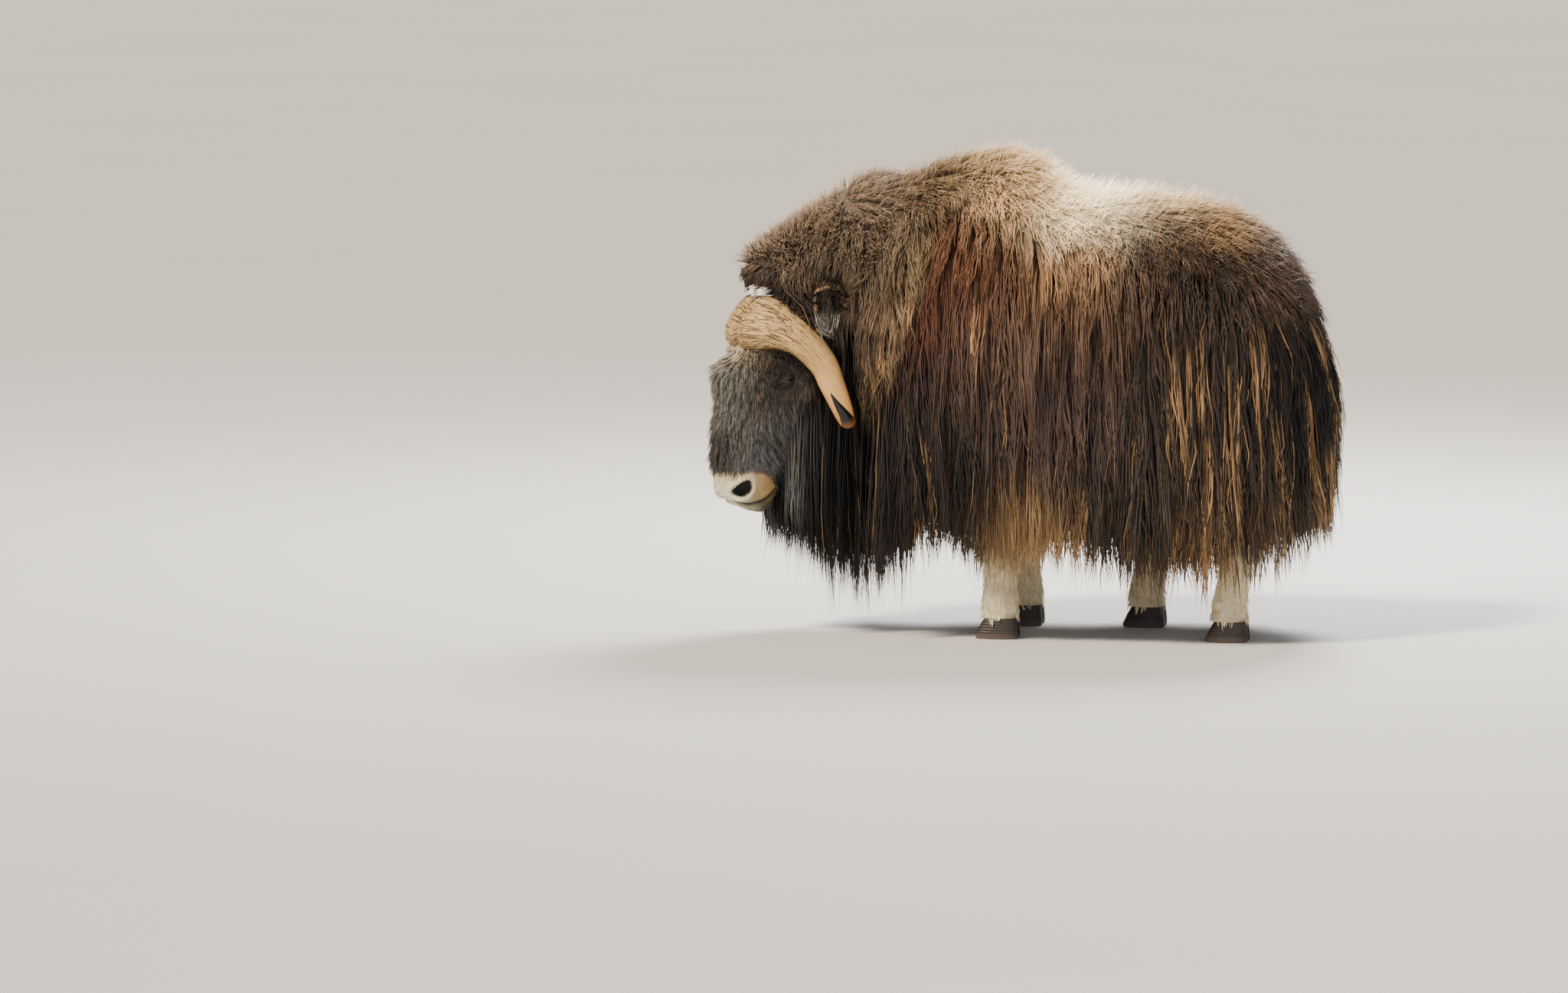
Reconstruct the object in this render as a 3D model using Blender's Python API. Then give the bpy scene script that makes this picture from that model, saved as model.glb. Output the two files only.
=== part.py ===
"""Muskox bull standing with its head lowered and turned to its left, a still life-size model.

The animal faces -X, its left side faces -Y, and its hooves rest on z = 0. Trunk, neck and head are one
run of planar sections, parted with thin cuts. The long coat is a shingle of flat tapered locks: each is
rooted in the dense under-wool, lies along the body and lifts a little, so that it covers the roots below.
"""

import math
import random

import bmesh
import bpy
from mathutils import Matrix, Vector
from mathutils.bvhtree import BVHTree

# Driving dimensions of the body, in metres.
GAP = 0.0003
SHEET_PARTING = 0.0001
WELD = 0.000004
HUMP_TOP = 1.325
BELLY = 0.455
HALF_WIDTH = 0.335
RUMP_CUT_X = 0.60
FLANK_CUT_X = 0.19
NECK_CUT_X = -0.30
THROAT_X = -0.445

# The head: the middle of it at eye level, its turn and its slope, and its features.
EYE_LEVEL = Vector((-0.682, -0.130, 0.720))
HEAD_YAW = math.radians(34)
HEAD_PITCH = math.radians(58)
HEAD_BACK = -0.26
EYE_SIDE = 0.127
EYE_RADIUS = 0.021
NOSTRIL = (0.288, -0.078, 0.048)

# The feet: where each stands, and the build of a hoof of two claws.
FRONT_FEET = {"left": (-0.011, -0.17), "right": (0.018, 0.17)}
HIND_FEET = {"left": (0.635, -0.17), "right": (0.365, 0.17)}
HOOF_HEIGHT = 0.058
CLAW_LENGTH = 0.120
CLAW_HALF_WIDTH = 0.026
CLAW_SIDE = 0.030

# The coat: how far apart the locks are rooted, and the build of one.
ROW_SPACING = 0.122
LOCK_SPACING = 0.087
LOCK_WIDTH = 0.102
LOCK_THICKNESS = 0.016
LOCK_STEP = 0.135
LOCK_LIFT = 0.20
RIDGE_LIFT = 0.12
ROOT_DEPTH = 0.024
HEM_RAGGED = 0.03
ROOT_RUN = 0.045
ROOT_NARROWING = {0: 0.45, 1: 0.85}
CUT_MARGIN = 0.012
HEAD_CLEARANCE = 0.04
SEED = 11


def heading(yaw):
    """The level direction of an animal that faces -X, once turned to its left by yaw."""
    return Vector((-math.cos(yaw), -math.sin(yaw), 0))


def left_of(yaw):
    """The direction to the left of that heading."""
    return Vector((math.sin(yaw), -math.cos(yaw), 0))


NOSEWARD = heading(HEAD_YAW) * math.cos(HEAD_PITCH) - Vector((0, 0, math.sin(HEAD_PITCH)))
DORSAL = heading(HEAD_YAW) * math.sin(HEAD_PITCH) + Vector((0, 0, math.cos(HEAD_PITCH)))
LEFT = left_of(HEAD_YAW)


def at_head(along, up, side):
    """A point measured from eye level: along towards the nose, up out of the forehead, and to the left."""
    return EYE_LEVEL + NOSEWARD * along + DORSAL * up + LEFT * side


def head_along(point):
    """How far along the head, towards the nose, a point lies."""
    return (point - EYE_LEVEL).dot(NOSEWARD)


class Section:
    """One planar section of the body: top and bottom points, half width, left direction and taper."""

    def __init__(self, top, bottom, half_width, left, wider_top):
        self.top, self.bottom, self.half_width = Vector(top), Vector(bottom), half_width
        self.left, self.wider_top = Vector(left), wider_top

    def centre(self):
        return (self.top + self.bottom) / 2

    def forward(self):
        """The direction out of the section's plane, towards the nose."""
        return self.left.cross(self.top - self.bottom).normalized()


def trunk_section(x, top, bottom, half_width):
    return Section((x, 0, top), (x, 0, bottom), half_width, left_of(0), -0.05)


def neck_section(top, bottom, half_width, degrees):
    return Section(top, bottom, half_width, left_of(math.radians(degrees)), 0.0)


def head_section(along, top, bottom, half_width, wider_top):
    return Section(at_head(along, top, 0), at_head(along, bottom, 0), half_width, LEFT, wider_top)


TRUNK = [
    trunk_section(0.888, 0.74, 0.63, 0.035),
    trunk_section(0.875, 0.80, 0.58, 0.115),
    trunk_section(0.850, 0.89, 0.54, 0.185),
    trunk_section(0.800, 1.005, 0.51, 0.25),
    trunk_section(0.720, 1.10, 0.485, 0.30),
    trunk_section(RUMP_CUT_X, 1.185, 0.47, 0.325),
    trunk_section(0.400, 1.225, 0.46, HALF_WIDTH),
    trunk_section(FLANK_CUT_X, 1.245, BELLY, HALF_WIDTH),
    trunk_section(0.050, HUMP_TOP, 0.45, 0.33),
    trunk_section(-0.120, 1.325, 0.45, 0.315),
    trunk_section(NECK_CUT_X, 1.265, 0.49, 0.275),
]
NECK = [
    neck_section((-0.43, -0.015, 1.205), (-0.365, -0.008, 0.60), 0.25, 10),
    neck_section((-0.56, -0.055, 1.12), (-0.415, -0.020, 0.72), 0.215, 22),
]
HEAD = [
    head_section(HEAD_BACK, 0.150, -0.170, 0.165, 0.00),
    head_section(-0.200, 0.125, -0.190, 0.158, 0.06),
    head_section(-0.120, 0.110, -0.200, 0.150, 0.10),
    head_section(-0.030, 0.105, -0.190, 0.138, 0.12),
    head_section(0.050, 0.128, -0.178, 0.125, 0.10),
    head_section(0.120, 0.082, -0.170, 0.106, 0.06),
    head_section(0.200, 0.048, -0.175, 0.090, 0.02),
    head_section(0.260, 0.018, -0.190, 0.080, 0.00),
    head_section(0.300, -0.010, -0.200, 0.070, 0.00),
    head_section(0.330, -0.036, -0.170, 0.054, 0.00),
    head_section(0.345, -0.060, -0.130, 0.030, 0.00),
]
BODY = TRUNK + NECK + HEAD
RUMP_CUT = 5
FLANK_CUT = 7
NECK_CUT = len(TRUNK) - 1
HEAD_CUT = len(TRUNK) + len(NECK)
NOSE_END = len(BODY) - 1
FULLNESS = 2 / 2.3
AROUND = 24

# A horn's sections: centre in the head's own directions, half breadth along the head, half thickness.
HORN = [
    ((-0.113, 0.105, 0.004), 0.082, 0.050),
    ((-0.115, 0.105, 0.050), 0.082, 0.050),
    ((-0.125, 0.080, 0.102), 0.068, 0.045),
    ((-0.120, 0.020, 0.146), 0.050, 0.036),
    ((-0.092, -0.055, 0.176), 0.040, 0.032),
    ((-0.055, -0.100, 0.195), 0.036, 0.030),
    ((-0.020, -0.138, 0.216), 0.031, 0.027),
    ((0.010, -0.165, 0.240), 0.026, 0.024),
    ((0.022, -0.168, 0.264), 0.020, 0.019),
    ((0.014, -0.138, 0.280), 0.014, 0.014),
    ((0.002, -0.100, 0.288), 0.008, 0.008),
]
HORN_TIP = (-0.013, -0.066, 0.292)
HORN_AROUND = 12

BROWN = (0.055, 0.030, 0.020)
RUST = (0.120, 0.050, 0.024)
SADDLE = (0.500, 0.370, 0.230)
FACE = (0.040, 0.032, 0.026)
HORN_TAN = (0.560, 0.360, 0.180)
HOOF_BLACK = (0.025, 0.021, 0.018)
EYE_BROWN = (0.012, 0.007, 0.004)
LEG_CREAM = (0.620, 0.520, 0.400)


def material(name, colour, roughness=0.85):
    """A Principled material of one colour."""
    made = bpy.data.materials.new(name)
    made.use_nodes = True
    shader = made.node_tree.nodes["Principled BSDF"]
    shader.inputs["Base Color"].default_value = (*colour, 1)
    shader.inputs["Roughness"].default_value = roughness
    return made


def smooth(values, t):
    """The Catmull-Rom value at t, counted in stations; values are numbers or vectors."""
    last = len(values) - 1
    i = min(max(int(math.floor(t)), 0), last - 1)
    w = t - i
    a, b, c, d = values[max(i - 1, 0)], values[i], values[i + 1], values[min(i + 2, last)]
    line = (c - a) * (0.5 * w)
    bow = (a * 2 - b * 5 + c * 4 - d) * (0.5 * w * w)
    twist = ((b - c) * 3 + d - a) * (0.5 * w * w * w)
    return b + line + bow + twist


def bent(value, power):
    """A signed power, which turns a circle into a superellipse."""
    return math.copysign(abs(value) ** power, value)


def section_at(t):
    """The body's section at t, blended smoothly between its stations."""
    return Section(
        smooth([s.top for s in BODY], t),
        smooth([s.bottom for s in BODY], t),
        smooth([s.half_width for s in BODY], t),
        smooth([s.left for s in BODY], t).normalized(),
        smooth([s.wider_top for s in BODY], t),
    )


def ring_point(section, angle, grow=0.0):
    """A point of a section: angle 0 is its top, a quarter turn its left side, a half turn its bottom."""
    up = section.top - section.bottom
    c, s = math.cos(angle), math.sin(angle)
    high = (up.length / 2 + grow) * bent(c, FULLNESS)
    wide = (section.half_width + grow) * (1 + section.wider_top * c) * bent(s, FULLNESS)
    return section.centre() + up.normalized() * high + section.left * wide


def full_ring(t, shift=0.0, grow=0.0, count=AROUND):
    """A whole section, moved towards the nose by shift."""
    section = section_at(t)
    move = section.forward() * shift
    return [ring_point(section, math.tau * i / count, grow) + move for i in range(count)]


def half_ring(t, side, shift=0.0):
    """Half a trunk section, closed by the flat cut on the mid-plane; side is 1 for the left half."""
    section = section_at(t)
    move = section.forward() * shift
    ring = []
    for i in range(AROUND // 2 + 1):
        point = ring_point(section, side * math.tau * i / AROUND) + move
        point.y = -side * max(-side * point.y, GAP / 2)
        ring.append(point)
    return ring


def spread(start, end, per_station):
    """Values from start to end, evenly spaced."""
    count = max(1, round((end - start) * per_station))
    return [start + (end - start) * i / count for i in range(count + 1)]


def new_object(name, mesh, finish=None):
    """Makes a scene object of a bmesh, split into triangles, its faces pointing outwards."""
    bmesh.ops.recalc_face_normals(mesh, faces=mesh.faces)
    bmesh.ops.triangulate(mesh, faces=mesh.faces)
    data = bpy.data.meshes.new(name)
    mesh.to_mesh(data)
    mesh.free()
    made = bpy.data.objects.new(name, data)
    bpy.context.scene.collection.objects.link(made)
    if finish:
        data.materials.append(finish)
    return made


def loft(name, rings, finish=None):
    """A closed body through rings of equal count, capped flat; a ring of one point makes a tip."""
    mesh = bmesh.new()
    rows = [[mesh.verts.new(p) for p in ring] for ring in rings]
    for low, high in zip(rows, rows[1:]):
        count = max(len(low), len(high))
        for i in range(count):
            j = (i + 1) % count
            corners = [low[i % len(low)], low[j % len(low)], high[j % len(high)], high[i % len(high)]]
            mesh.faces.new(list(dict.fromkeys(corners)))
    for end in (rows[0], rows[-1]):
        if len(end) > 2:
            mesh.faces.new(end)
    return new_object(name, mesh, finish)


def tube(name, path, radius, sides=4):
    """A round tube along a path of points, tapered to half its radius at both ends."""
    rings = []
    for i, point in enumerate(path):
        ahead, behind = path[min(i + 1, len(path) - 1)], path[max(i - 1, 0)]
        turn = (ahead - behind).to_track_quat("Z", "Y")
        thick = radius * (0.5 if i in (0, len(path) - 1) else 1.0)
        corner = [Vector((math.cos(a), math.sin(a), 0)) for a in (math.tau * k / sides for k in range(sides))]
        rings.append([point + turn @ (c * thick) for c in corner])
    return loft(name, rings)


def ball(name, centre, radii, frame, segments=16, rows=10, finish=None):
    """An ellipsoid with its three radii along the frame's directions."""
    mesh = bmesh.new()
    bmesh.ops.create_uvsphere(mesh, u_segments=segments, v_segments=rows, radius=1)
    place = Matrix.Translation(centre) @ Matrix(frame).transposed().to_4x4() @ Matrix.Diagonal((*radii, 1))
    bmesh.ops.transform(mesh, matrix=place, verts=mesh.verts)
    return new_object(name, mesh, finish)


def grown(source, distance):
    """A copy of a closed object with every point moved out along its normal, to cut its neighbour with."""
    mesh = bmesh.new()
    mesh.from_mesh(source.data)
    mesh.normal_update()
    for vertex, normal in [(v, v.normal.copy()) for v in mesh.verts]:
        vertex.co += normal * distance * max(1.0, vertex.calc_shell_factor())
    return new_object(source.name + "_grown", mesh)


def remove(made):
    """Removes an object and its mesh."""
    data = made.data
    bpy.data.objects.remove(made)
    bpy.data.meshes.remove(data)


def islands(mesh):
    """The connected groups of faces of a bmesh."""
    left, found = set(mesh.faces), []
    while left:
        todo, group = [left.pop()], []
        while todo:
            face = todo.pop()
            group.append(face)
            near = {other for edge in face.edges for other in edge.link_faces} & left
            left -= near
            todo.extend(near)
        found.append(group)
    return found


def enclosed(faces):
    """Six times the volume that a group of triangles encloses."""
    corners = ([v.co for v in face.verts] for face in faces)
    return sum(a.dot(b.cross(c)) for a, b, c in corners)


def third(face, edge):
    """The corner of a triangle that is not on the edge."""
    return next(v for v in face.verts if v not in edge.verts)


def part_sheets(mesh):
    """Where four faces share an edge, gives two of them a point of their own, a little inside the body."""
    for edge in [e for e in mesh.edges if len(e.link_faces) > 2]:
        if not edge.is_valid:
            continue
        start = edge.verts[0]
        onward = [f for f in edge.link_faces if any(c.edge == edge and c.vert == start for c in f.loops)]
        against = [f for f in edge.link_faces if f not in onward]
        pairs = [(f, g) for f in onward for g in against]
        flaps = [(f, g) for f, g in pairs if third(f, edge) == third(g, edge)]
        if flaps:
            bmesh.ops.delete(mesh, geom=list(flaps[0]), context="FACES")
            continue
        one, other = max(pairs, key=lambda pair: pair[0].normal.dot(pair[1].normal))
        end = edge.other_vert(start)
        inward = (one.normal + other.normal) * SHEET_PARTING
        middle = mesh.verts.new((start.co + end.co) / 2 - inward)
        for face, first, last in ((one, start, end), (other, end, start)):
            corner = third(face, edge)
            mesh.faces.new((first, middle, corner))
            mesh.faces.new((middle, last, corner))
        bmesh.ops.delete(mesh, geom=[one, other], context="FACES_ONLY")


def keep_largest(made):
    """Keeps a node's largest closed surface, and drops loose scraps and sealed hollows."""
    mesh = bmesh.new()
    mesh.from_mesh(made.data)
    bmesh.ops.remove_doubles(mesh, verts=mesh.verts, dist=WELD)
    bmesh.ops.triangulate(mesh, faces=mesh.faces)
    mesh.normal_update()
    part_sheets(mesh)
    dropped = sorted(islands(mesh), key=enclosed)[:-1]
    bmesh.ops.delete(mesh, geom=[face for group in dropped for face in group], context="FACES")
    loose = [v for v in mesh.verts if not v.link_faces]
    bmesh.ops.delete(mesh, geom=loose, context="VERTS")
    mesh.to_mesh(made.data)
    mesh.free()


def combine(target, operation, pieces):
    """Applies one Boolean of closed pieces to the target, removes the pieces, and keeps one body."""
    group = bpy.data.collections.new("pieces")
    bpy.context.scene.collection.children.link(group)
    for piece in pieces:
        bpy.context.scene.collection.objects.unlink(piece)
        group.objects.link(piece)
    modifier = target.modifiers.new("combine", "BOOLEAN")
    modifier.operation = operation
    modifier.operand_type = "COLLECTION"
    modifier.collection = group
    modifier.solver = "MANIFOLD"
    graph = bpy.context.evaluated_depsgraph_get()
    result = bpy.data.meshes.new_from_object(target.evaluated_get(graph))
    finish, old = target.data.materials[:], target.data
    target.modifiers.remove(modifier)
    target.data = result
    result.name = target.name
    result.materials.clear()
    for slot in finish:
        result.materials.append(slot)
    bpy.data.meshes.remove(old)
    for piece in pieces:
        remove(piece)
    bpy.data.collections.remove(group)
    keep_largest(target)


def union(target, pieces):
    """Fuses the pieces into the target."""
    combine(target, "UNION", pieces)


def cut(target, cutters):
    """Cuts the cutters out of the target."""
    combine(target, "DIFFERENCE", cutters)


def tree_of(made):
    """A search tree of an object's surface."""
    mesh = made.data
    return BVHTree.FromPolygons([v.co.copy() for v in mesh.vertices], [p.vertices[:] for p in mesh.polygons])


class Guide:
    """The body's smooth surface, which the hair is rooted in and laid along."""

    def __init__(self):
        rings = [full_ring(t, count=72) for t in spread(0, NOSE_END, 8)]
        model = loft("guide", rings)
        self.tree = tree_of(model)
        remove(model)
        self.sections = [section_at(t) for t in spread(0, NOSE_END, 3)]

    def nearest(self, point):
        """The nearest place on the surface and the direction out of it there."""
        place, normal, _, _ = self.tree.find_nearest(point)
        return place, normal

    def backward(self, point):
        """The direction along the body from nose to tail near a point."""
        near = min(self.sections, key=lambda s: (s.centre() - point).length)
        return -near.forward()


def lie_of(normal, backward):
    """The way hair lies: backwards on top, down on the sides, straight down below, never to the nose."""
    down = Vector((0, 0, -1))
    if normal.z < 0:
        return down
    ahead = max(0.0, -down.dot(backward))
    down += backward * ahead * (0.3 + 0.7 * normal.z)
    pull = down * (1 - normal.z ** 4) + backward * (0.22 + 0.55 * normal.z ** 3)
    return (pull - normal * pull.dot(normal)).normalized()


class Coat:
    """Grows the locks of one node over the guide, each within one of the node's own spaces."""

    def __init__(self, guide, spaces, obstacles):
        self.guide, self.spaces, self.obstacles = guide, spaces, obstacles
        self.random = random.Random(SEED)
        self.locks = []

    def inside(self, point):
        """Whether a place lies in the node."""
        return any(inside(point) for inside, _ in self.spaces)

    def path(self, root, length, lift, inside):
        """The middle line of a lock and its outward direction at each point, from its sunk root."""
        place, normal = self.guide.nearest(root)
        lie = lie_of(normal, self.guide.backward(place))
        behind, sunk = self.guide.nearest(place - lie * ROOT_RUN)
        points, facing = [behind - sunk * ROOT_DEPTH], [normal]
        sway, turn = self.random.uniform(0.05, 0.16), self.random.uniform(0, math.tau)
        point, rise = place - normal * 0.002, lift
        steps = max(2, round(length / LOCK_STEP))
        stride = length / steps
        for step in range(steps + 1):
            if step:
                _, normal = self.guide.nearest(point)
                lie = lie_of(normal, self.guide.backward(point))
                hanging = normal.z < 0
                if hanging:
                    normal = (facing[-1] + Vector((normal.x, normal.y, 0)) * 0.3).normalized()
                    rise = min(rise, 0.05)
                across = normal.cross(lie)
                bend = sway * math.sin(turn + 2.4 * step / steps)
                point = point + (lie + across * bend + normal * rise).normalized() * stride
            if not self.free(point, inside):
                break
            points.append(point.copy())
            facing.append(normal)
        return points, facing

    def free(self, point, inside):
        """Whether a lock may pass here: within its space, above the hem and clear of what is near."""
        if point.z < hem(point) - HEM_RAGGED or not inside(point):
            return False
        return all(tree.find_nearest(point, LOCK_WIDTH * 0.5)[0] is None for tree in self.obstacles)

    def grow(self, root, length, width=LOCK_WIDTH, lift=LOCK_LIFT):
        """Adds a lock rooted at a place, if there is room for it."""
        length *= self.random.uniform(0.88, 1.12)
        tries = [(*self.path(root, length, lift + more, inside), keep_in)
                 for inside, keep_in in self.spaces for more in (0, 0.10)]
        points, facing, keep_in = max(tries, key=lambda made: len(made[0]))
        if len(points) < 3:
            return
        width *= self.random.uniform(0.9, 1.1)
        margin = self.random.uniform(0.0006, 0.0030)
        last = len(points) - 1
        rings = []
        for i in range(last):
            share = i / last
            across = facing[i].cross(points[i + 1] - points[max(i - 1, 0)]).normalized()
            half = across * (width / 2) * ROOT_NARROWING.get(i, 1 - 0.6 * max(0.0, share - 0.4) / 0.6)
            thick = facing[i] * LOCK_THICKNESS * (1 - 0.55 * share)
            corners = (points[i] - half, points[i] + half, points[i] + thick)
            rings.append([keep_in(corner, margin) for corner in corners])
        rings.append([keep_in(points[last], margin)])
        self.locks.append(loft("lock", rings))


def trunk_half(name, side, ends, finish):
    """The left or right half of the trunk between two stations, its flat ends clear of the next node."""
    rings = []
    for t in spread(*ends, 2):
        shift = {ends[0]: GAP / 2, ends[1]: -GAP / 2}.get(t, 0.0)
        rings.append(half_ring(t, side, 0.0 if t == 0 else shift))
    return loft(name, rings, finish)


def whole_length(name, ends, per_station, finish):
    """The neck or the head, between two stations."""
    rings = []
    for t in spread(*ends, per_station):
        shift = {ends[0]: GAP / 2, ends[1]: -GAP / 2}.get(t, 0.0)
        rings.append(full_ring(t, 0.0 if t == NOSE_END else shift))
    return loft(name, rings, finish)


def horn(name, side, finish):
    """A horn: the broad boss by the mid-line, the sweep down past the cheek, and the tip turned up."""
    centres = [at_head(a, f, side * s) for (a, f, s), _, _ in HORN]
    tip = at_head(HORN_TIP[0], HORN_TIP[1], side * HORN_TIP[2])
    flat, rings = DORSAL.copy(), []
    for t in spread(0, len(HORN) - 1, 1.5):
        centre = smooth(centres, t)
        ahead = smooth(centres, min(t + 0.1, len(HORN) - 1)) - smooth(centres, max(t - 0.1, 0))
        ahead = LEFT * side if t < 1 else ahead.normalized()
        flat = (flat - ahead * flat.dot(ahead)).normalized()
        broad = ahead.cross(flat)
        breadth, thick = smooth([h[1] for h in HORN], t), smooth([h[2] for h in HORN], t)
        turns = [math.tau * k / HORN_AROUND for k in range(HORN_AROUND)]
        rings.append([
            centre + broad * (breadth * bent(math.cos(a), 0.85)) + flat * (thick * bent(math.sin(a), 0.85))
            for a in turns
        ])
    rings.append([tip])
    return loft(name, rings, finish)


def ear(name, side, finish):
    """An ear: a curved cup that opens forwards and stands out of the mane behind the horn."""
    root, tip = at_head(-0.202, 0.005, side * 0.148), at_head(-0.290, 0.076, side * 0.206)
    axis = (tip - root).normalized()
    opening = NOSEWARD * 0.63 + DORSAL * 0.62 + LEFT * side * 0.46
    opening = (opening - axis * opening.dot(axis)).normalized()
    breadth = axis.cross(opening)
    build = [(-0.15, 0.018, 0.016, 0.014), (0.15, 0.026, 0.022, 0.009), (0.42, 0.038, 0.026, 0.006),
             (0.68, 0.040, 0.024, 0.006), (0.88, 0.027, 0.015, 0.005), (1.0, 0.010, 0.006, 0.004)]
    rings = []
    for share, wide, deep, thick in build:
        centre = root.lerp(tip, share) - opening * (0.010 * math.sin(math.pi * share))
        outer = [math.radians(a) for a in range(-90, 91, 30)]
        inner = [math.radians(a) for a in range(72, -73, -36)]
        ring = [centre + breadth * (wide * math.sin(a)) - opening * (deep * math.cos(a)) for a in outer]
        ring += [
            centre + breadth * ((wide - thick * 0.6) * math.sin(a)) - opening * ((deep - thick) * math.cos(a))
            for a in inner
        ]
        rings.append(ring)
    return loft(name, rings, finish)


def eyeball(name, side, finish, radius=EYE_RADIUS):
    return ball(name, at_head(0, 0, side * EYE_SIDE), (radius,) * 3, (NOSEWARD, DORSAL, LEFT), 10, 7, finish)


def on_surface(guide, along, up, side, out=0.0):
    """A point of the head's surface, raised out of it."""
    place, normal = guide.nearest(at_head(along, up, side))
    return place + normal * out


def mouth_line(guide, raise_up, out):
    """The line of the mouth round the muzzle, from one corner to the other, moved up towards the nose."""
    half = [(0.250, -0.165, 0.075), (0.300, -0.140, 0.068), (0.332, -0.108, 0.050), (0.345, -0.082, 0.026)]
    way = half + [(0.350, -0.073, 0.0)] + [(a, f, -s) for a, f, s in reversed(half)]
    return [on_surface(guide, a, f + raise_up, s, out) for a, f, s in way]


def add_face(head, guide):
    """The lids and brows, the lips, the line of the mouth and the nostrils."""
    slant = (NOSEWARD * 0.81 + DORSAL * 0.59).normalized()
    across = LEFT.cross(slant)
    raised = [tube("upper_lip", mouth_line(guide, 0.010, 0.001), 0.008)]
    raised.append(tube("lower_lip", mouth_line(guide, -0.012, 0.001), 0.008))
    hollows = [tube("mouth", mouth_line(guide, 0.0, 0.002), 0.004)]
    for side in (1, -1):
        eye = at_head(0, 0, side * EYE_SIDE)
        frame = (slant, across, LEFT)
        raised.append(ball("lids", eye - LEFT * side * 0.004, (0.038, 0.030, 0.0305), frame, 8, 6))
        brow = at_head(-0.026, 0.020, side * (EYE_SIDE - 0.010))
        raised.append(ball("brow", brow, (0.056, 0.022, 0.026), frame, 8, 5))
        hollows.append(eyeball("socket", side, None, EYE_RADIUS + GAP))
        slit = at_head(0, 0, side * (EYE_SIDE + 0.020))
        hollows.append(ball("slit", slit, (0.0225, 0.0060, 0.020), frame, 8, 5))
        place, normal = guide.nearest(at_head(*NOSTRIL[:2], side * NOSTRIL[2]))
        back = (NOSEWARD * -0.79 - DORSAL * 0.62).normalized()
        back = (back - normal * back.dot(normal)).normalized()
        wing = (back, normal.cross(back), normal)
        raised.append(ball("wing", place, (0.036, 0.027, 0.008), wing, 8, 5))
        hollows.append(ball("nostril", place + normal * 0.004, (0.023, 0.012, 0.018), wing, 8, 5))
    union(head, raised)
    cut(head, hollows)


def leg(name, foot, hind, finish):
    """A leg from the body down to the fetlock, with its two dewclaws; its top is cut to the trunk."""
    shape = [(0.500, 0.00, 0.075, 0.060), (0.300, 0.00, 0.056, 0.050), (0.180, 0.00, 0.042, 0.038),
             (0.110, 0.00, 0.049, 0.044), (HOOF_HEIGHT + GAP, 0.00, 0.050, 0.054)]
    if hind:
        shape = [(0.500, 0.00, 0.085, 0.062), (0.350, 0.028, 0.060, 0.046), (0.220, 0.018, 0.041, 0.037),
                 (0.110, 0.00, 0.048, 0.044), (HOOF_HEIGHT + GAP, 0.00, 0.050, 0.054)]
    stations = [Vector(s) for s in (entry[:3] for entry in shape)]
    widths = [entry[3] for entry in shape]
    rings = []
    for t in spread(0, len(shape) - 1, 1.5):
        z, back, long = smooth(stations, t)
        wide = smooth(widths, t)
        turns = [math.tau * k / 10 for k in range(10)]
        rings.append([
            Vector((foot[0] + back + long * bent(math.cos(a), 0.9), foot[1] + wide * bent(math.sin(a), 0.9), z))
            for a in turns
        ])
    made = loft(name, rings, finish)
    frame = (Vector((1, 0, 0)), Vector((0, 1, 0)), Vector((0, 0, 1)))
    claws = [Vector((foot[0] + 0.047, foot[1] + y, 0.088)) for y in (-0.022, 0.022)]
    union(made, [ball("dewclaw", c, (0.017, 0.012, 0.019), frame, 6, 4) for c in claws])
    return made


def hoof_claw(name, foot, offset, finish):
    """One claw of a hoof, flat below, its toe rounded and its wall leaning back."""
    build = [(0.0, 0.96, 0.94, 0.0), (0.010, 1.0, 1.0, 0.0), (0.040, 0.86, 0.92, 0.006), (HOOF_HEIGHT, 0.74, 0.84, 0.010)]
    rings = []
    for z, long, wide, back in build:
        ring = []
        for k in range(12):
            c, s = math.cos(math.tau * k / 12), math.sin(math.tau * k / 12)
            taper = 1.0 - 0.22 * max(0.0, -c)
            x = foot[0] - 0.006 + back + CLAW_LENGTH / 2 * long * bent(c, 0.85)
            ring.append(Vector((x, foot[1] + offset + CLAW_HALF_WIDTH * wide * taper * bent(s, 0.8), z)))
        rings.append(ring)
    return loft(name, rings, finish)


def tail(name, finish):
    """The short tail, hidden in the coat of the rump."""
    build = [(0.990, 0.838, 0.016, 0.020), (0.950, 0.878, 0.022, 0.026), (0.905, 0.902, 0.020, 0.026),
             (0.868, 0.910, 0.012, 0.018)]
    rings = []
    for z, x, long, wide in build:
        turns = [math.tau * k / 10 for k in range(10)]
        rings.append([Vector((x + long * math.cos(a), wide * math.sin(a), z)) for a in turns])
    rings.append([Vector((0.910, 0, 0.850))])
    return loft(name, rings, finish)


def hem(point):
    """How low the coat reaches at a place along the body."""
    places = ((-0.80, 0.33), (-0.68, 0.30), (-0.57, 0.256), (-0.47, 0.21), (-0.35, 0.17), (-0.29, 0.245),
              (-0.20, 0.27), (-0.10, 0.23), (0.00, 0.196), (0.08, 0.206), (0.17, 0.25), (0.27, 0.22),
              (0.33, 0.17), (0.45, 0.133), (0.64, 0.146), (0.76, 0.183), (0.90, 0.28), (1.10, 0.40))
    for (x0, z0), (x1, z1) in zip(places, places[1:]):
        if point.x <= x1:
            break
    return z0 + (z1 - z0) * min(max((point.x - x0) / (x1 - x0), 0), 1)


def roots(coat, ends, angles, looser=1.0):
    """Places for a node's locks, a lock's spacing apart, in rows filled in from both of their ends."""
    found = []
    for angle in angles:
        for side in (1, -1):
            row = [ring_point(section_at(t), side * math.radians(angle)) for t in reversed(spread(*ends, 12))]
            row = [point for point in row if coat.inside(point)]
            for point in row[:1] + row[:0:-1]:
                _, normal = coat.guide.nearest(point)
                lie = lie_of(normal, coat.guide.backward(point))
                if all(apart(point - other[0], lie, looser) for other in found):
                    found.append((point, angle))
    return found


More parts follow.
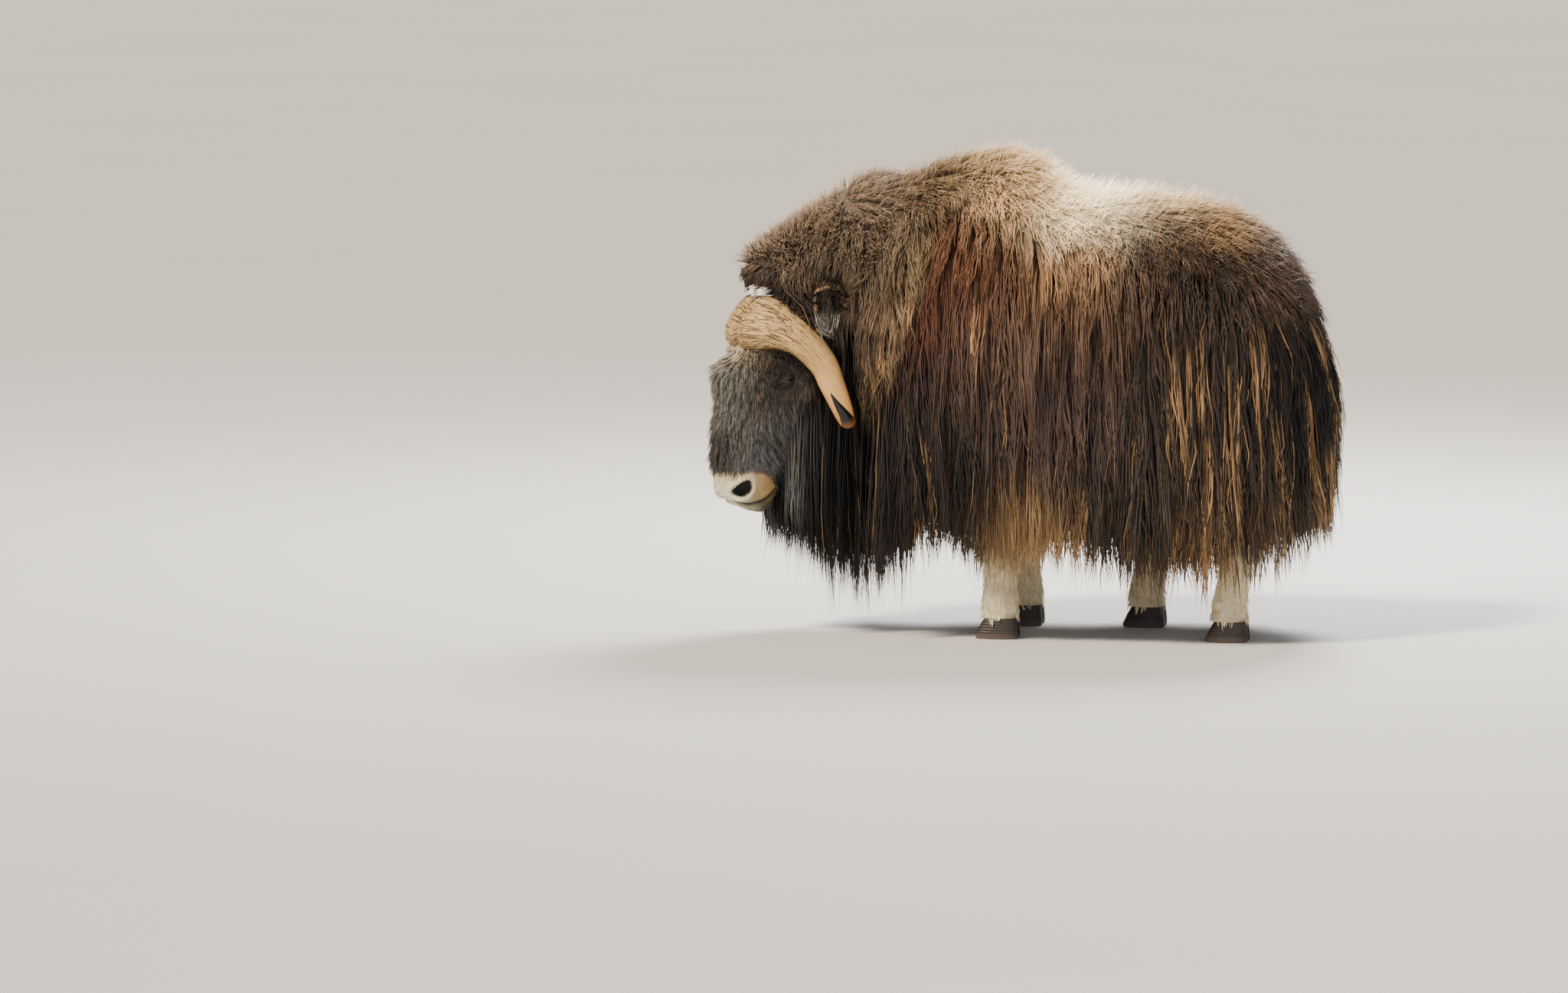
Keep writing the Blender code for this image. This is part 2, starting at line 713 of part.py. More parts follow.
def apart(step, lie, looser):
    """Whether two roots are a lock's spacing from each other, along and across the way the hair lies."""
    along = step.dot(lie)
    across = (step - lie * along).length
    return (along / ROW_SPACING) ** 2 + (across / LOCK_SPACING) ** 2 > looser * looser


def cover(node, coat, places):
    """Grows a lock at each place that lies in the node, and fuses them with it."""
    for point, angle in places:
        share = min(max((angle - 20) / 70, 0), 1)
        length = 0.15 + 0.27 * share * share * (3 - 2 * share)
        if angle > 75:
            length = max(point.z - hem(point), 0.12)
        coat.grow(point, length, lift=LOCK_LIFT + RIDGE_LIFT * max(0.0, 1 - angle / 30))
    print(node.name, "locks", len(coat.locks))
    union(node, coat.locks)


def between(low, high):
    """The space between two cuts across the trunk, on one side of the mid-plane: its test and its clamp."""

    def make(side):
        def inside(p):
            near_tail = p.x > 0.80 and 0.80 < p.z < 1.05
            return low + CUT_MARGIN < p.x < high - CUT_MARGIN and -side * p.y > (0.080 if near_tail else 0.014)

        def keep_in(p, margin):
            near_tail = p.x > 0.80 and 0.80 < p.z < 1.05
            x = min(max(p.x, low + margin), high - margin)
            return Vector((x, -side * max(-side * p.y, 0.034 if near_tail else margin), p.z))

        return inside, keep_in

    return make


def above_head(p):
    return p.x < NECK_CUT_X - CUT_MARGIN and head_along(p) < HEAD_BACK - CUT_MARGIN


def keep_above_head(p, margin):
    p = p - NOSEWARD * max(0.0, head_along(p) - HEAD_BACK + margin)
    return Vector((min(p.x, NECK_CUT_X - margin), p.y, p.z))


def behind_throat(head):
    """The test for a place behind the throat, clear of the head."""
    tree = tree_of(head)
    return lambda p: (THROAT_X + CUT_MARGIN < p.x < NECK_CUT_X - CUT_MARGIN
                      and tree.find_nearest(p, HEAD_CLEARANCE)[0] is None)


def keep_behind_throat(p, margin):
    return Vector((min(max(p.x, THROAT_X + margin), NECK_CUT_X - margin), p.y, p.z))


def head_inside(p):
    return head_along(p) > HEAD_BACK + CUT_MARGIN and p.x < THROAT_X - CUT_MARGIN


def head_keep_in(p, margin):
    p = p + NOSEWARD * max(0.0, HEAD_BACK + margin - head_along(p))
    return Vector((min(p.x, THROAT_X - margin), p.y, p.z))


def add_poll_tuft(coat):
    """The hair of the poll, which falls forwards over the back of the horns."""
    way = ((-0.222, 0.090), (-0.248, 0.152), (-0.228, 0.174), (-0.196, 0.176), (-0.158, 0.170))
    for place in range(-3, 4):
        side = 0.038 * place
        drop = 2.4 * side * side
        reach, sway = coat.random.uniform(0.5, 1.0), coat.random.uniform(-0.03, 0.03)
        drop += coat.random.uniform(-0.004, 0.004)
        forward = coat.random.uniform(0, 0.012)
        rings = []
        for i, (along, up) in enumerate(way):
            share = i / (len(way) - 1)
            along = way[0][0] + (along - way[0][0]) * (reach if i > 2 else 1)
            point = at_head(along + forward, up - drop, side * 1.15 + sway * share)
            half = LEFT * (0.044 - 0.022 * share)
            thick = DORSAL * (0.014 - 0.008 * share)
            rings.append([point - half, point + half, point + thick] if share < 1 else [point])
        coat.locks.append(loft("tuft", rings))


def build_feet(nodes, finishes):
    """Four legs and their eight claws."""
    for pair, feet in (("front", FRONT_FEET), ("hind", HIND_FEET)):
        for side, foot in feet.items():
            name = f"leg_{pair}_{side}"
            nodes[name] = leg(name, foot, pair == "hind", finishes["leg"])
            for claw, offset in (("inner", CLAW_SIDE), ("outer", -CLAW_SIDE)):
                name = f"hoof_{pair}_{side}_{claw}"
                out = -offset if side == "right" else offset
                nodes[name] = hoof_claw(name, foot, out, finishes["hoof"])


def build_trunk(nodes, finishes):
    """The trunk in three lengths, each of a left and a right half, and the legs cut to its underside."""
    whole = loft("trunk", [full_ring(t, 0.0, GAP) for t in spread(0, NECK_CUT, 2)])
    for name in [n for n in nodes if n.startswith("leg_")]:
        cut(nodes[name], [grown(whole, 0.0)])
    remove(whole)
    lengths = {"rump": (0, RUMP_CUT), "flank": (RUMP_CUT, FLANK_CUT), "shoulder": (FLANK_CUT, NECK_CUT)}
    for place, ends in lengths.items():
        for side, sign in (("left", 1), ("right", -1)):
            name = f"{place}_{side}"
            nodes[name] = trunk_half(name, sign, ends, finishes[place])
    for side in ("left", "right"):
        cut(nodes[f"rump_{side}"], [grown(nodes["tail"], GAP)])


def build_head(nodes, guide, finishes):
    """The head with its face, and the horns, ears and eyes that it holds."""
    head = whole_length("head", (HEAD_CUT, NOSE_END), 1.5, finishes["face"])
    add_face(head, guide)
    for side, sign in (("left", 1), ("right", -1)):
        nodes[f"horn_{side}"] = horn(f"horn_{side}", sign, finishes["horn"])
        nodes[f"ear_{side}"] = ear(f"ear_{side}", sign, finishes["ear"])
        nodes[f"eye_{side}"] = eyeball(f"eye_{side}", sign, finishes["eye"])
        cut(head, [grown(nodes[f"horn_{side}"], GAP)])
        cut(head, [grown(nodes[f"ear_{side}"], GAP)])
    nodes["head"] = head


def build_coat(nodes, guide):
    """The locks of every node that carries the long coat."""
    horns = [tree_of(made) for name, made in nodes.items() if name.startswith(("horn_", "ear_", "eye_"))]
    legs = [tree_of(made) for name, made in nodes.items() if name.startswith("leg_")]
    for place, span in (("rump", (RUMP_CUT_X, 2.0)), ("flank", (FLANK_CUT_X, RUMP_CUT_X)),
                        ("shoulder", (NECK_CUT_X, FLANK_CUT_X))):
        for side, sign in (("left", 1), ("right", -1)):
            coat = Coat(guide, [between(*span)(sign)], legs)
            cover(nodes[f"{place}_{side}"], coat, roots(coat, (0.6, NECK_CUT), range(5, 128, 5)))
    spaces = [(above_head, keep_above_head), (behind_throat(nodes["head"]), keep_behind_throat)]
    coat = Coat(guide, spaces, horns)
    cover(nodes["neck"], coat, roots(coat, (NECK_CUT, HEAD_CUT), range(0, 181, 5), 1.18))
    coat = Coat(guide, [(head_inside, head_keep_in)], horns)
    add_poll_tuft(coat)
    cheek = roots(coat, (HEAD_CUT + 0.5, HEAD_CUT + 4.0), range(88, 113, 6), 1.1)
    beard = roots(coat, (HEAD_CUT + 0.5, NOSE_END - 5.2), range(118, 181, 7), 1.3)
    cover(nodes["head"], coat, cheek + beard)


def settle(nodes):
    """Parents the nodes to an empty, moved so that the middle of the box's floor is the origin."""
    corners = [v.co for made in nodes.values() for v in made.data.vertices]
    middle = [(min(c[i] for c in corners) + max(c[i] for c in corners)) / 2 for i in (0, 1)]
    holder = bpy.data.collections.new("muskox")
    bpy.context.scene.collection.children.link(holder)
    frame = bpy.data.objects.new("muskox_frame", None)
    frame.location = (-middle[0], -middle[1], 0)
    holder.objects.link(frame)
    for made in nodes.values():
        bpy.context.scene.collection.objects.unlink(made)
        holder.objects.link(made)
        made.parent = frame
    bpy.context.view_layer.update()


def build():
    """Builds the whole animal."""
    for old in list(bpy.data.objects):
        bpy.data.objects.remove(old)
    finishes = {
        "rump": material("rump coat", BROWN), "flank": material("saddle coat", SADDLE),
        "shoulder": material("shoulder coat", RUST), "neck": material("mane", BROWN),
        "face": material("face", FACE), "ear": material("ear", BROWN), "tail": material("tail", BROWN),
        "horn": material("horn", HORN_TAN, 0.5), "eye": material("eye", EYE_BROWN, 0.1),
        "leg": material("leg", LEG_CREAM), "hoof": material("hoof", HOOF_BLACK, 0.6),
    }
    guide, nodes = Guide(), {}
    nodes["tail"] = tail("tail", finishes["tail"])
    build_feet(nodes, finishes)
    build_trunk(nodes, finishes)
    build_head(nodes, guide, finishes)
    nodes["neck"] = whole_length("neck", (NECK_CUT, HEAD_CUT), 2, finishes["neck"])
    for side in ("left", "right"):
        cut(nodes["neck"], [grown(nodes[f"ear_{side}"], GAP)])
    build_coat(nodes, guide)
    settle(nodes)
    print("triangles", sum(len(p.vertices) - 2 for m in nodes.values() for p in m.data.polygons))


build()
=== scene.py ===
"""Life-size model of a muskox bull at rest, its head lowered and turned a little to its left.

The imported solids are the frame. One skin stands for all the solids of flesh, and the long coat, the short
hair of the face and legs, the horns, eyes and hooves are built over it. Forms are laid out in the animal's
own frame, where x = 0 is at the hump, the animal faces -x and its left side faces -y, and are then moved
to where the solids stand.
"""

from __future__ import annotations

import logging
import math
from dataclasses import dataclass, field
from enum import Enum
from typing import Callable

import bmesh
import bpy
import numpy as np
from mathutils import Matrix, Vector
from mathutils.bvhtree import BVHTree
from mathutils.kdtree import KDTree


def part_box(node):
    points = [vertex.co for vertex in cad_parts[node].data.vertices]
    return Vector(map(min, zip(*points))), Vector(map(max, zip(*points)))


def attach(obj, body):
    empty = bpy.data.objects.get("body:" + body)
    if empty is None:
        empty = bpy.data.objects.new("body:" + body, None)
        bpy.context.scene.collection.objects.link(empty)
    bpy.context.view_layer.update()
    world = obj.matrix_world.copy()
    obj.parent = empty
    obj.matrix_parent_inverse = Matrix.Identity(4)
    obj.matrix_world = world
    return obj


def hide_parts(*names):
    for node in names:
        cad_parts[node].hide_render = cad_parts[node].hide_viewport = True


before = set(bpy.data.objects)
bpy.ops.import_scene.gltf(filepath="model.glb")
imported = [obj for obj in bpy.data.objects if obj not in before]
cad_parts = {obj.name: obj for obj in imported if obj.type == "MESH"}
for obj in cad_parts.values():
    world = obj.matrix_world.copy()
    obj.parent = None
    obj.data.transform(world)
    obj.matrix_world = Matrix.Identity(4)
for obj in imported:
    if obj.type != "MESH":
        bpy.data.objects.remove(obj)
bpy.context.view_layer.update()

Array = np.ndarray
LOG = logging.getLogger("muskox")
BODY_NAME = "root"
BAKE_MAP = "OFBake"
HORN_MAP = "HornMap"
PATCH = 0.003
FLOOR_CLEARANCE = 0.03

# Hair further out to a side than the first is drawn in softly, so that none passes the sum of the two.
HELD_FROM = 0.390
HELD_WITHIN = 0.034

# The head: its middle at eye level, its turn to the left and its slope.
EYE_LEVEL = np.array((-0.682, -0.130, 0.720))
HEAD_YAW = math.radians(34)
HEAD_PITCH = math.radians(58)
EYE_SIDE = 0.127
EYE_RADIUS = 0.021
DOWN = np.array((0.0, 0.0, -1.0))
UP = np.array((0.0, 0.0, 1.0))
TAILWARD = np.array((1.0, 0.0, 0.0))

LEVEL_HEADING = np.array((-math.cos(HEAD_YAW), -math.sin(HEAD_YAW), 0.0))
NOSEWARD = LEVEL_HEADING * math.cos(HEAD_PITCH) + DOWN * math.sin(HEAD_PITCH)
DORSAL = LEVEL_HEADING * math.sin(HEAD_PITCH) + UP * math.cos(HEAD_PITCH)
LEFT = np.array((math.sin(HEAD_YAW), -math.cos(HEAD_YAW), 0.0))


class Side(Enum):
    """The two sides of the animal, with the sign that points to each."""

    LEFT = 1
    RIGHT = -1


def unit(vectors: Array) -> Array:
    """Scales vectors to a length of one.

    Args:
        vectors: An array whose last axis is xyz.

    Returns:
        The unit vectors, in the same layout.
    """
    return vectors / np.maximum(np.linalg.norm(vectors, axis=-1, keepdims=True), 1e-12)


def ease(values: Array | float, low: float, high: float) -> Array:
    """A smooth step from 0 at low to 1 at high."""
    share = np.clip((np.asarray(values, float) - low) / (high - low), 0.0, 1.0)
    return share * share * (3 - 2 * share)


def dot(first: Array, second: Array) -> Array:
    """The dot product along the last axis."""
    return (first * second).sum(-1)


def at_head(along: float, up: float, side: float) -> Array:
    """A point measured from eye level: towards the nose, out of the forehead and to the left."""
    return EYE_LEVEL + NOSEWARD * along + DORSAL * up + LEFT * side


def head_frame(points: Array) -> Array:
    """The head's own coordinates of points: along, up and side."""
    offset = points - EYE_LEVEL
    return np.stack([dot(offset, NOSEWARD), dot(offset, DORSAL), dot(offset, LEFT)], -1)


def catmull(values: Array, t: float) -> Array:
    """The smooth value at t, counted in stations.

    Args:
        values: One row for each station.
        t: The place along the stations.

    Returns:
        The blended row.
    """
    last = len(values) - 1
    i = min(max(int(math.floor(t)), 0), last - 1)
    w = t - i
    a, b, c, d = values[max(i - 1, 0)], values[i], values[i + 1], values[min(i + 2, last)]
    return b + (c - a) * (0.5 * w) + (a * 2 - b * 5 + c * 4 - d) * (0.5 * w * w) + (
        (b - c) * 3 + d - a) * (0.5 * w * w * w)


def bent(values: Array, power: float) -> Array:
    """A signed power, which turns a circle into a superellipse."""
    return np.sign(values) * np.abs(values) ** power


def linear(code: str) -> tuple[float, float, float]:
    """Turns an sRGB hex colour to linear values.

    Args:
        code: Six hex digits.

    Returns:
        Linear red, green and blue.
    """
    parts = [int(code[i:i + 2], 16) / 255 for i in (0, 2, 4)]
    return tuple(c / 12.92 if c <= 0.04045 else ((c + 0.055) / 1.055) ** 2.4 for c in parts)


def ripple(points: Array, size: float, seed: int) -> Array:
    """A smooth wandering value between -1 and 1 over space.

    Args:
        points: Places, xyz last.
        size: The length of one ripple, in metres.
        seed: Picks the pattern.

    Returns:
        One value for each place.
    """
    rng = np.random.default_rng(seed)
    total = np.zeros(points.shape[:-1])
    for _ in range(5):
        wave = unit(rng.normal(size=3)) * (math.tau / size) * rng.uniform(0.6, 1.5)
        total += np.sin(points @ wave + rng.uniform(0, math.tau))
    return total / 5 ** 0.5 / 1.5


def resampled(values: Array, at: Array) -> Array:
    """Rows of values read between their steps, at one place along for each row and step."""
    low = np.clip(at.astype(int), 0, values.shape[1] - 2)
    part = (at - low)[..., None]
    rows = np.arange(len(values))[:, None]
    return values[rows, low] * (1 - part) + values[rows, low + 1] * part


def muzzle_line(local: Array) -> Array:
    """How far past the border of the pale muzzle places lie, in the head's coordinates."""
    ups = (-0.215, -0.204, -0.140, -0.104, -0.064, -0.030, -0.013, 0.010)
    starts = (0.300, 0.283, 0.246, 0.247, 0.258, 0.284, 0.305, 0.330)
    return local[..., 0] - np.interp(local[..., 1], ups, starts)


def over_muzzle(local: Array) -> Array:
    """How far ahead places lie of those from which hair would hang over the chin."""
    return local[..., 0] + 1.6 * (local[..., 1] + 0.205) - 0.270


def hem(points: Array) -> Array:
    """How low the coat reaches below places along the body."""
    x = (-0.80, -0.68, -0.57, -0.47, -0.35, -0.29, -0.20, -0.10, 0.00, 0.08, 0.17, 0.27, 0.33, 0.45, 0.64, 0.76,
         0.90, 1.10)
    z = (0.325, 0.290, 0.242, 0.195, 0.160, 0.235, 0.25, 0.21, 0.190, 0.195, 0.218, 0.195, 0.16, 0.133, 0.146, 0.183,
         0.28, 0.40)
    return np.interp(points[..., 0], x, z)


def mane_edge(points: Array) -> Array:
    """How far behind the mane's edge places lie, along the body."""
    heights, edges = (0.60, 0.75, 0.92, 1.14, 1.30), (-0.36, -0.34, -0.29, -0.21, -0.08)
    return points[..., 0] - np.interp(points[..., 2], heights, edges)


def mane_height(points: Array) -> Array:
    """1 at the heights where the mane ends in a free edge, 0 above and below."""
    return ease(points[..., 2], 0.60, 0.74) * ease(points[..., 2], 1.27, 1.14)


# ------------------------------------------------------------------ forms


@dataclass
class Form:
    """A closed surface of rings, from which skin is made and in which hair is rooted."""

    name: str
    points: Array

    def inside_out(self) -> bool:
        """Whether rings and faces taken in their own order would face inwards."""
        p = self.points - self.points.mean(axis=(0, 1))
        q = np.roll(p, -1, axis=1)
        return float((dot(p[:-1], np.cross(q[:-1], q[1:])) + dot(p[:-1], np.cross(q[1:], p[1:]))).sum()) < 0

    def normals(self) -> Array:
        """The direction out of the surface at each point."""
        along = np.gradient(self.points, axis=0)
        around = np.roll(self.points, -1, axis=1) - np.roll(self.points, 1, axis=1)
        made = unit(np.cross(around, along))
        return -made if self.inside_out() else made

    def polygons(self) -> list[tuple[int, ...]]:
        """The faces over the points, with both ends closed by one more point each."""
        rows, steps = self.points.shape[:2]
        faces = []
        for i in range(rows - 1):
            for j in range(steps):
                k = (j + 1) % steps
                faces.append((i * steps + j, i * steps + k, (i + 1) * steps + k, (i + 1) * steps + j))
        first, last = rows * steps, rows * steps + 1
        for j in range(steps):
            k = (j + 1) % steps
            faces.append((first, k, j))
            faces.append((last, (rows - 1) * steps + j, (rows - 1) * steps + k))
        return [face[::-1] for face in faces] if self.inside_out() else faces

    def corners(self) -> Array:
        """The points in a row, followed by the middles of the two end rings."""
        ends = self.points[[0, -1]].mean(axis=1)
        return np.concatenate([self.points.reshape(-1, 3), ends])

    def tree(self) -> BVHTree:
        """A search tree of the surface."""
        return BVHTree.FromPolygons([Vector(p) for p in self.corners()], self.polygons())

    def scatter(self, rng: np.random.Generator, density: Callable[[Array, Array], Array]) -> "Roots":
        """Picks random places on the surface.

        Args:
            rng: The source of chance.
            density: Gives the number of roots per square metre from places and normals.

        Returns:
            The roots.
        """
        p, n = self.points, self.normals()
        q = np.roll(p, -1, axis=1)
        area = np.linalg.norm(np.cross(p[1:] - p[:-1], q[:-1] - p[:-1]), axis=-1)
        middle = (p[:-1] + p[1:] + q[:-1] + q[1:]) / 4
        rows, steps = area.shape
        weight = (area * density(middle, n[:-1])).ravel()
        count = int(round(weight.sum()))
        if count == 0:
            return Roots(np.zeros((0, 3)), np.zeros((0, 3)), np.zeros((0, 2)))
        cell = np.sort(rng.choice(weight.size, count, p=weight / weight.sum()))
        i, j = np.divmod(cell, steps)
        k = (j + 1) % steps
        u, v = rng.random((2, count, 1))
        place = (p[i, j] * (1 - u) + p[i + 1, j] * u) * (1 - v) + (p[i, k] * (1 - u) + p[i + 1, k] * u) * v
        normal = unit((n[i, j] * (1 - u) + n[i + 1, j] * u) * (1 - v) + (n[i, k] * (1 - u) + n[i + 1, k] * u) * v)
        spot = np.stack([(i + u[:, 0]) / rows, (j + v[:, 0]) / steps], -1)
        return Roots(place, normal, spot)


@dataclass
class Roots:
    """Where tufts grow: the places, the directions out there and the places on the flat skin."""

    place: Array
    normal: Array
    spot: Array

    def pick(self, chosen: Array) -> "Roots":
        """Some of the roots."""
        return Roots(self.place[chosen], self.normal[chosen], self.spot[chosen])

    def __len__(self) -> int:
        """How many there are."""
        return len(self.place)


@dataclass
class Muzzle:
    """The nostrils and the mouth, as drawn on the bare head."""

    nostrils: list[tuple[Array, Array, Array, Array]]
    mouth: Array

    def radius(self, points: Array) -> Array:
        """How far from the nearest nostril's middle points lie, 1 at the edge of its slanted comma."""
        total = np.full(points.shape[:-1], 9.0)
        for centre, back, over, out in self.nostrils:
            offset = points - centre
            x, y, deep = dot(offset, back), dot(offset, over), dot(offset, out)
            near = np.hypot(x / 0.0310, (y - 0.003 + 8 * x ** 2) / 0.0205)
            total = np.minimum(total, near + 9 * (np.abs(deep) > 0.034))
        return total

    def raised(self, points: Array) -> Array:
        """How far the wings of the nose and the lips stand out and the nostrils and mouth sink in."""
        radius = self.radius(points)
        total = 0.0090 * np.exp(-((radius / 1.50) ** 4)) - 0.026 * np.exp(-((radius / 0.92) ** 4))
        gap = distance_to_way(points, self.mouth)
        return total + 0.0070 * np.exp(-(((gap - 0.011) / 0.009) ** 2)) - 0.0070 * np.exp(-((gap / 0.0038) ** 2))

    def dark(self, points: Array) -> Array:
        """Where painted shade blackens the skin: in the nostrils, on their rims and along the mouth."""
        gap = distance_to_way(points, self.mouth)
        return np.maximum(ease(self.radius(points), 1.10, 0.92), 0.98 * np.exp(-((gap / 0.0072) ** 2)))

    def pale(self, points: Array) -> Array:
        """Where the painted highlight lies on the wings of the nose: in a ring round each nostril."""
        return np.exp(-(((self.radius(points) - 1.36) / 0.24) ** 2))


@dataclass
class Body:
    """Trunk, neck and head as one run of planar sections, from the tail to the nose."""

    trunk: tuple = (
        (0.888, 0.74, 0.63, 0.035), (0.875, 0.80, 0.58, 0.115), (0.850, 0.89, 0.54, 0.185),
        (0.800, 1.005, 0.51, 0.25), (0.720, 1.10, 0.485, 0.30), (0.600, 1.185, 0.47, 0.325),
        (0.400, 1.225, 0.46, 0.335), (0.190, 1.245, 0.455, 0.335), (0.050, 1.325, 0.45, 0.33),
        (-0.120, 1.325, 0.45, 0.315), (-0.300, 1.265, 0.49, 0.275),
    )
    neck: tuple = (
        ((-0.43, -0.015, 1.205), (-0.365, -0.008, 0.60), 0.25, 10),
        ((-0.56, -0.055, 1.12), (-0.415, -0.020, 0.72), 0.215, 22),
    )
    head: tuple = (
        (-0.260, 0.150, -0.170, 0.165, 0.00), (-0.200, 0.125, -0.190, 0.158, 0.06),
        (-0.120, 0.110, -0.200, 0.150, 0.10), (-0.030, 0.105, -0.190, 0.138, 0.12),
        (0.050, 0.128, -0.178, 0.125, 0.10), (0.120, 0.082, -0.170, 0.106, 0.06),
        (0.200, 0.048, -0.175, 0.090, 0.02), (0.260, 0.018, -0.190, 0.080, 0.00),
        (0.300, -0.010, -0.202, 0.070, 0.00), (0.330, -0.030, -0.184, 0.056, 0.00),
        (0.346, -0.052, -0.146, 0.032, 0.00),
    )
    fullness: float = 2 / 2.3
    around: int = 150
    trunk_steps: int = 8
    head_steps: int = 18
    nostril: tuple = (0.306, -0.080, 0.050)
    mouth: tuple = (
        (0.262, -0.178, 0.078), (0.285, -0.163, 0.075), (0.311, -0.147, 0.066), (0.335, -0.122, 0.052),
        (0.342, -0.096, 0.038), (0.346, -0.070, 0.018), (0.350, -0.056, 0.0),
    )

    def stations(self) -> Array:
        """One row for each section: its top, bottom, left direction, half width and taper."""
        rows = []
        for x, top, bottom, half in self.trunk:
            rows.append((x, 0, top, x, 0, bottom, 0, -1, 0, half, -0.05))
        for top, bottom, half, turn in self.neck:
            yaw = math.radians(turn)
            rows.append((*top, *bottom, math.sin(yaw), -math.cos(yaw), 0, half, 0.0))
        for along, top, bottom, half, taper in self.head:
            rows.append((*at_head(along, top, 0), *at_head(along, bottom, 0), *LEFT, half, taper))
        return np.array(rows, float)

    def head_start(self) -> int:
        """The station where the head begins."""
        return len(self.trunk) + len(self.neck)

    def rings(self) -> Array:
        """The rings of the bare body, before the face is shaped."""
        rows = self.stations()
        cut, last = self.head_start(), len(rows) - 1
        places = np.concatenate([
            np.linspace(0, cut, cut * self.trunk_steps, endpoint=False),
            np.linspace(cut, last, (last - cut) * self.head_steps + 1),
        ])
        turn = np.linspace(0, math.tau, self.around, endpoint=False)
        c, s = np.cos(turn), np.sin(turn)
        made = []
        for t in places:
            row = catmull(rows, t)
            top, bottom, left, half, taper = row[:3], row[3:6], unit(row[6:9]), row[9], row[10]
            high = np.linalg.norm(top - bottom) / 2 * bent(c, self.fullness)
            wide = half * (1 + taper * c) * bent(s, self.fullness)
            made.append((top + bottom) / 2 + np.outer(high, unit(top - bottom)) + np.outer(wide, left))
        return np.array(made)

    def snapped(self, tree: BVHTree, place: tuple[float, float, float]) -> tuple[Array, Array]:
        """The surface point nearest to a place given in the head's coordinates, and its normal."""
        point, normal, _, _ = tree.find_nearest(Vector(at_head(*place)))
        return np.array(point), np.array(normal)

    def muzzle(self) -> Muzzle:
        """Places the nostrils and the mouth on the bare head."""
        tree = Form("body", self.rings()).tree()
        nostrils = []
        for side in (1, -1):
            centre, out = self.snapped(tree, (self.nostril[0], self.nostril[1], side * self.nostril[2]))
            back = NOSEWARD * -0.935 - DORSAL * 0.354
            back = unit(back - out * dot(back, out))
            nostrils.append((centre, back, np.cross(out, back) * -side, out))
        way = [self.snapped(tree, p)[0] for p in self.mouth]
        way += [self.snapped(tree, (a, f, -s))[0] for a, f, s in self.mouth[-2::-1]]
        return Muzzle(nostrils, np.array(way))

    def form(self, muzzle: Muzzle) -> Form:
        """The body with the mane's step and the face shaped: brow, cheeks, nose wings, nostrils and lips."""
        bare = Form("body", self.rings())
        points = bare.points
        local = head_frame(points)
        normals = bare.normals()
        raised = 0.030 * (ease(mane_edge(points), 0.010, -0.016) * mane_height(points)
                          * ease(points[..., 0], -0.50, -0.42))
        raised += 0.036 * (ease(normals[..., 2], 0.0, 0.7) * ease(points[..., 0], -0.28, -0.40)
                           * ease(local[..., 0], -0.20, -0.27))
        for side in (1, -1):
            brow = (local - np.array((-0.028, 0.024, side * 0.120))) / np.array((0.050, 0.020, 0.035))
            raised += 0.010 * np.exp(-dot(brow, brow))
            cheek = (local - np.array((0.10, -0.02, side * 0.115))) / np.array((0.060, 0.030, 0.05))
            raised += 0.006 * np.exp(-dot(cheek, cheek))
        raised += muzzle.raised(points)
        return Form("body", points + normals * raised[..., None])


def distance_to_way(points: Array, way: Array) -> Array:
    """How far points are from a run of straight lines.

    Args:
        points: Places, xyz last.
        way: The corners of the run.

    Returns:
        The distances.
    """
    best = np.full(points.shape[:-1], 9.0)
    for start, end in zip(way[:-1], way[1:]):
        step = end - start
        share = np.clip(dot(points - start, step) / dot(step, step), 0, 1)
        best = np.minimum(best, np.linalg.norm(points - start - share[..., None] * step, axis=-1))
    return best


@dataclass
class Leg:
    """A leg from inside the body down to the fetlock."""

    name: str
    foot: tuple[float, float]
    hind: bool
    around: int = 28
    rows: int = 46

    def form(self) -> Form:
        """The leg's surface."""
        if self.hind:
            build = ((0.500, 0.0, 0.085, 0.062), (0.350, 0.028, 0.060, 0.046), (0.220, 0.018, 0.041, 0.037),
                     (0.110, 0.0, 0.048, 0.044), (0.0583, 0.0, 0.050, 0.054))
        else:
            build = ((0.500, 0.0, 0.075, 0.060), (0.300, 0.0, 0.056, 0.050), (0.180, 0.0, 0.042, 0.038),
                     (0.110, 0.0, 0.049, 0.044), (0.0583, 0.0, 0.050, 0.054))
        table = np.array(build)
        turn = np.linspace(0, math.tau, self.around, endpoint=False)
        rings = []
        for t in np.linspace(0, len(table) - 1, self.rows):
            z, back, long, wide = catmull(table, t)
            x = self.foot[0] + back + long * bent(np.cos(turn), 0.9)
            y = self.foot[1] + wide * bent(np.sin(turn), 0.9)
            rings.append(np.stack([x, y, np.full_like(x, z)], -1))
        return Form(self.name, np.array(rings))


